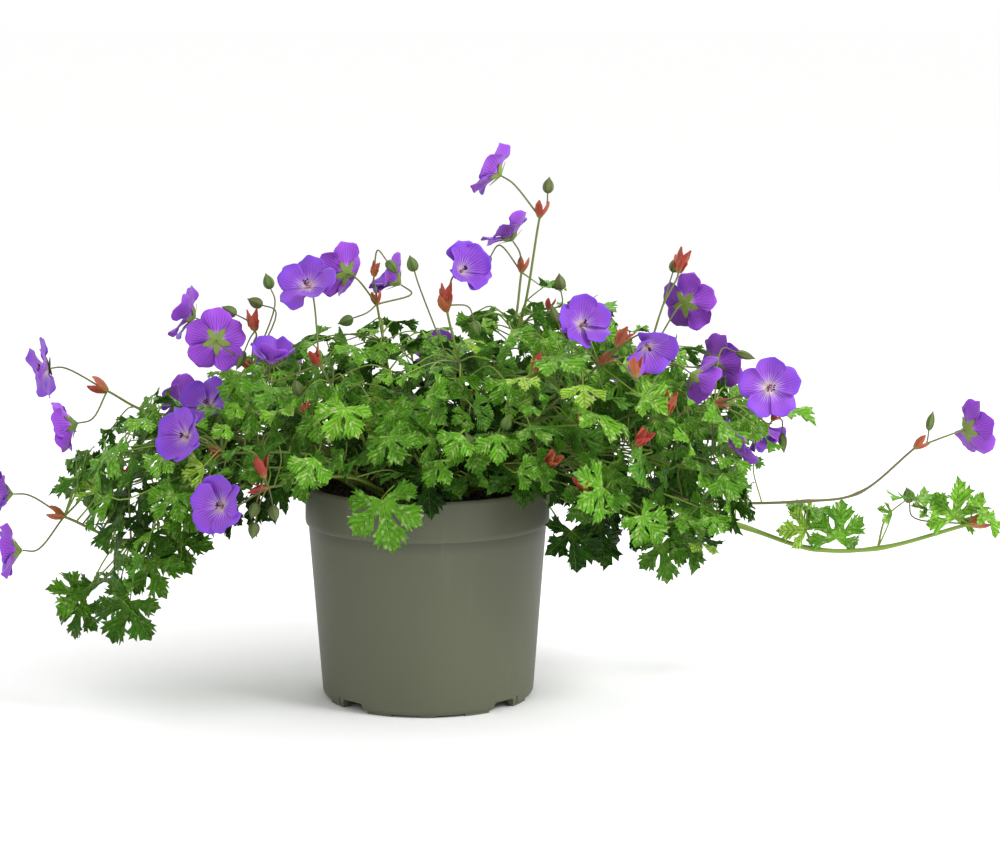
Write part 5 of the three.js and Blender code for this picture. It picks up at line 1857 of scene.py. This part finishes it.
# %% [markdown]
# ## Flowering stems
# A geranium stem is jointed: it swells at each fork, and from there a flower stalk, a bud stalk and small
# leaves go on. The stalks hold the flowers square, with the green star of sepals behind the petals.

# %% Grow the stems
STEM_THICK = {"runner": (2.2, 1.6), "low_left": (1.8, 1.1), "far_right": (1.4, 0.9), "crest": (1.5, 0.9)}
STEM_BLUSH = {"runner": (0.1, 0.0), "far_right": (0.6, 0.8)}
STAR_STEP = 0.18
for name, shoot in SHOOTS.items():
    sprig = Sprig()
    stem = shoot.points()
    knots = [(i + 1) / (len(stem) - 1) for i in range(len(shoot.stem) - 1)]
    ends = STEM_THICK.get(name, (1.5, 0.95))
    sunk = [(*shoot.foot, STEM_START - 14), *shoot.stem]
    sprig.stalk(sunk, 14 * len(stem), *ends, STEM_BLUSH.get(name, (0.1, 0.5)), knots)
    for start in sorted({row[0] for row in [*shoot.blooms, *shoot.buds]}):
        add_fork(sprig, stem, start)
    for _, start, seat, faces, cup in opened(shoot):
        axes = flower_axes(faces)
        sprig.stalk(stalk_points(shoot.stem[start], seat, axes[2], -0.4), 14, 0.8, 0.6, (0.55, 0.8))
        star = FIRST_STAR + min(2, int(cup / STAR_STEP))
        sprig.set(CALYX, star, seat, axes, 1.0, leaf_random.uniform(-1, -0.3))
    for start, at, points in shoot.buds:
        add_bud(sprig, shoot.stem[start], at, points)
    for start, *spray in shoot.sprays:
        add_spray(sprig, shoot.stem[start], *spray)
    for start, leaf in own_leaves(shoot) + shoot_leaves[name]:
        add_leaf(sprig, start, leaf)
    leafy_piece(f"shoot_{name}", sprig, f"stem_{name}")

# %% [markdown]
# ## Tufts of leaves
# The rest of the leaves rise on long stalks from the crown at soil level.

# %% Grow the tufts
for name, leaves in tuft_leaves.items():
    foot = TUFTS[name].foot
    sprig = Sprig()
    sprig.stalk([(*foot, 150), (*foot, 158), (*foot, STEM_START + 2)], 6, 3.0, 2.6, (0.6, 0.3))
    for leaf in leaves:
        add_leaf(sprig, TUFTS[name].start(), leaf)
    leafy_piece(f"tuft_{name}", sprig, f"leaves_{name}")

# %% [markdown]
# ## Petal, stamen and style moulds
# A petal is a broad blade: narrow at its claw, widest past its middle, with a slightly notched tip. It
# rises as a shallow dish and waves at its edge. Five petals with different waves are enough. A stamen is a
# thread with a dark anther. The style is a column whose five tips curl out.

# %% Petals
COROLLA_RADIUS, COROLLA_SEAT, COROLLA_RISE, PETAL_THICKNESS = 24.5, 0.8, 5.2, 0.3
CLAW_WIDTH, PETAL_WIDTH, PETAL_ROUNDING, PETAL_NOTCH, EDGE_WAVE = 0.05, 0.42, 0.38, 0.03, 0.025
PETAL_WAVES = [
    # roll of the sides, wave of the rim, curl of the tip, and where the wave starts
    (-2.2, 1.3, 0.8, 0.3),
    (-0.8, 1.7, 2.0, 2.0),
    (1.8, 1.2, -0.6, 4.0),
    (-3.0, 1.1, 1.4, 5.2),
    (0.6, 2.0, 0.2, 1.2),
]


def petal_mesh(roll, wave, curl, phase, columns=13, rows=13):
    """A petal that reaches out along +X, with its face up."""
    points, marks = [], []
    for along in np.linspace(0, 1, rows):
        half = COROLLA_RADIUS * (CLAW_WIDTH + PETAL_WIDTH * math.sin(math.pi / 2 * along) ** 1.15)
        for sweep in np.linspace(math.pi / 2, -math.pi / 2, columns):
            aside = math.sin(sweep)
            rounding = PETAL_ROUNDING * along**2 * (1 - math.cos(sweep))
            rounding += PETAL_NOTCH * along**9 * math.exp(-((aside / 0.22) ** 2))
            rounding += EDGE_WAVE * along**4 * math.sin(7 * aside + 3 * phase)
            out = COROLLA_RADIUS * (0.05 + 0.95 * along - rounding)
            lift = COROLLA_SEAT + COROLLA_RISE * along**1.1
            lift += 2.2 * math.sin(math.pi * min(1, along * 1.4)) * aside**2
            lift += roll * along**2 * abs(aside) ** 1.7 - curl * along**4
            lift += wave * along**3 * math.sin(4.2 * aside + phase) + 0.2 * along * math.cos(aside * 15)
            points.append((out * MM, aside * half * MM, lift * MM))
            marks.append((aside, along))
    return thin_blade("petal", points, grid_faces(columns, rows), marks, PETAL_THICKNESS * MM)


petal_box = collection_of("petal mould", [petal_mesh(*waves) for waves in PETAL_WAVES])

# %% Stamen and style
STAMEN = [
    # points, radii, shade, sides
    ([(0.7, 0, 0.5), (1.0, 0, 3.5), (1.7, 0, 6.4), (2.3, 0, 7.8)], [0.3, 0.25, 0.2, 0.18], 0.0, 4),
    ([(1.9, 0, 7.5), (2.3, 0, 7.6), (2.9, 0, 8.5), (3.1, 0, 9.2)], [0.1, 0.66, 0.66, 0.1], 1.0, 4),
]
STYLE_CURL = [(0.2, 0, 6.8), (0.8, 0, 8.4), (2.0, 0, 9.0), (2.7, 0, 8.5)]
style = [([(0, 0, 0), (0, 0, 4), (0, 0, 7)], [1.1, 0.6, 0.5], 0.4, 6)]
for tip in range(5):
    turn = Matrix.Rotation(math.radians(72 * tip + 36), 3, "Z")
    style.append(([turn @ Vector(place) for place in STYLE_CURL], [0.3, 0.26, 0.2, 0.1], 0.15, 4))


def tubes_mesh(name, tubes):
    """A mesh of fine closed tubes, which carries the shade of each. Their faces point outwards as built."""
    form = bmesh.new()
    layer = form.verts.layers.float.new("tint")
    for points, radii, shade, sides in tubes:
        turns = [2 * math.pi * side / sides for side in range(sides)]
        rings = [
            [(Vector(place) + Vector((radius * math.cos(a), radius * math.sin(a), 0))) * MM for a in turns]
            for place, radius in zip(points, radii)
        ]
        for corner in loft(form, rings):
            corner[layer] = shade
    mesh = mesh_of(form, name, turn_outwards=False)
    mesh.shade_smooth()
    return mesh


stamen_box = collection_of("stamen mould", [tubes_mesh("stamen", STAMEN)])
style_box = collection_of("style mould", [tubes_mesh("style", style)])

# %% [markdown]
# ## Blooms
# Petals and stamens repeat round one axis, which Geometry Nodes do well: a ring of points, a mould on each
# point turned outwards, and a little seeded random tilt and roll, so that each petal laps over the next.
# The ring is then put where the flower faces.

# %% The tree of a bloom
sizes = {"Roll": "Float", "Cup": "Float", "Petal_width": "Float"}
bloom = Growth("bloom", Petals="Int", Stamens="Int", **sizes, Seed="Int")
port = bloom.port


def ring_of(box, count, roll, cup, width, phase):
    """Moulds round the Z axis, each turned outwards, rolled on its own length and tilted up at random."""
    number, chance = bloom.node("GeometryNodeInputIndex"), bloom.chance(-1.0, 1.0)
    turn = number * (2 * math.pi) / count + phase + chance * 0.05
    angles = {"X": roll + chance * 0.12, "Y": chance * 0.16 - cup, "Z": turn}
    angles = bloom.node("ShaderNodeCombineXYZ", inputs=angles)
    return bloom.moulds_on(
        bloom.node("GeometryNodePoints", inputs={"Count": count}),
        box,
        Instance_Index=number + port["Seed"],
        Rotation=bloom.node("FunctionNodeEulerToRotation", inputs={"Euler": angles}),
        Scale=bloom.node("ShaderNodeCombineXYZ", inputs={"X": 1.0, "Y": width, "Z": 1.0}),
    )


def placed(part, finish):
    """One part of the flower at the sprig's point, turned the way it faces."""
    sockets = {"Points": port["Geometry"], "Instance": part}
    sockets["Rotation"] = bloom.carried("turn", "QUATERNION")
    return bloom.finished(bloom.node("GeometryNodeInstanceOnPoints", inputs=sockets), finish)


petals = ring_of(petal_box, port["Petals"], port["Roll"], port["Cup"], port["Petal width"], math.pi / 2)
stamens = ring_of(stamen_box, port["Stamens"], 0, port["Cup"] * 0.5, 1.0, 0.2)
column = bloom.node("GeometryNodeCollectionInfo", inputs={"Collection": style_box})
bloom.end(placed(petals, petal_finish), placed(stamens, stamen_finish), placed(column, stamen_finish))
print("nodes in the bloom tree:", len(bloom.tree.nodes))

# %% Open the blooms
PETAL_ROLL = -0.12
bloom_count = 0
for name, shoot in SHOOTS.items():
    for number, _, seat, faces, cup in opened(shoot):
        bloom_count += 1
        sprig = Sprig()
        sprig.set(BLOOM, 0, seat, flower_axes(faces), 1.0, 0.0)
        mesh = bloom.grown(
            sprig.mesh(),
            Petals=5,
            Stamens=10,
            Roll=PETAL_ROLL,
            Cup=cup,
            Petal_width=float(leaf_random.uniform(0.95, 1.13)),
            Seed=bloom_count,
        )
        hand_over(shown(f"flower_{name}_{number}", mesh), "petals", f"bloom_{name}_{number}")
print("blooms:", bloom_count)

# %% [markdown]
# ## Boxes and triangles
# The box of the solids and the box of the pieces are both printed, and so is the number of triangles in all
# pieces. The pieces have to stay within the solids' box, apart from a small allowance for soft edges.

# %% Print the boxes and triangles
shown_box = [list(corner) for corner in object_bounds()]
for label, corners in (("solids", solid_box), ("pieces", shown_box)):
    print(label, [[round(value, 4) for value in corner] for corner in corners])
triangles = 0
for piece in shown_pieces():
    piece.data.calc_loop_triangles()
    triangles += len(piece.data.loop_triangles)
print("triangles in all:", triangles)
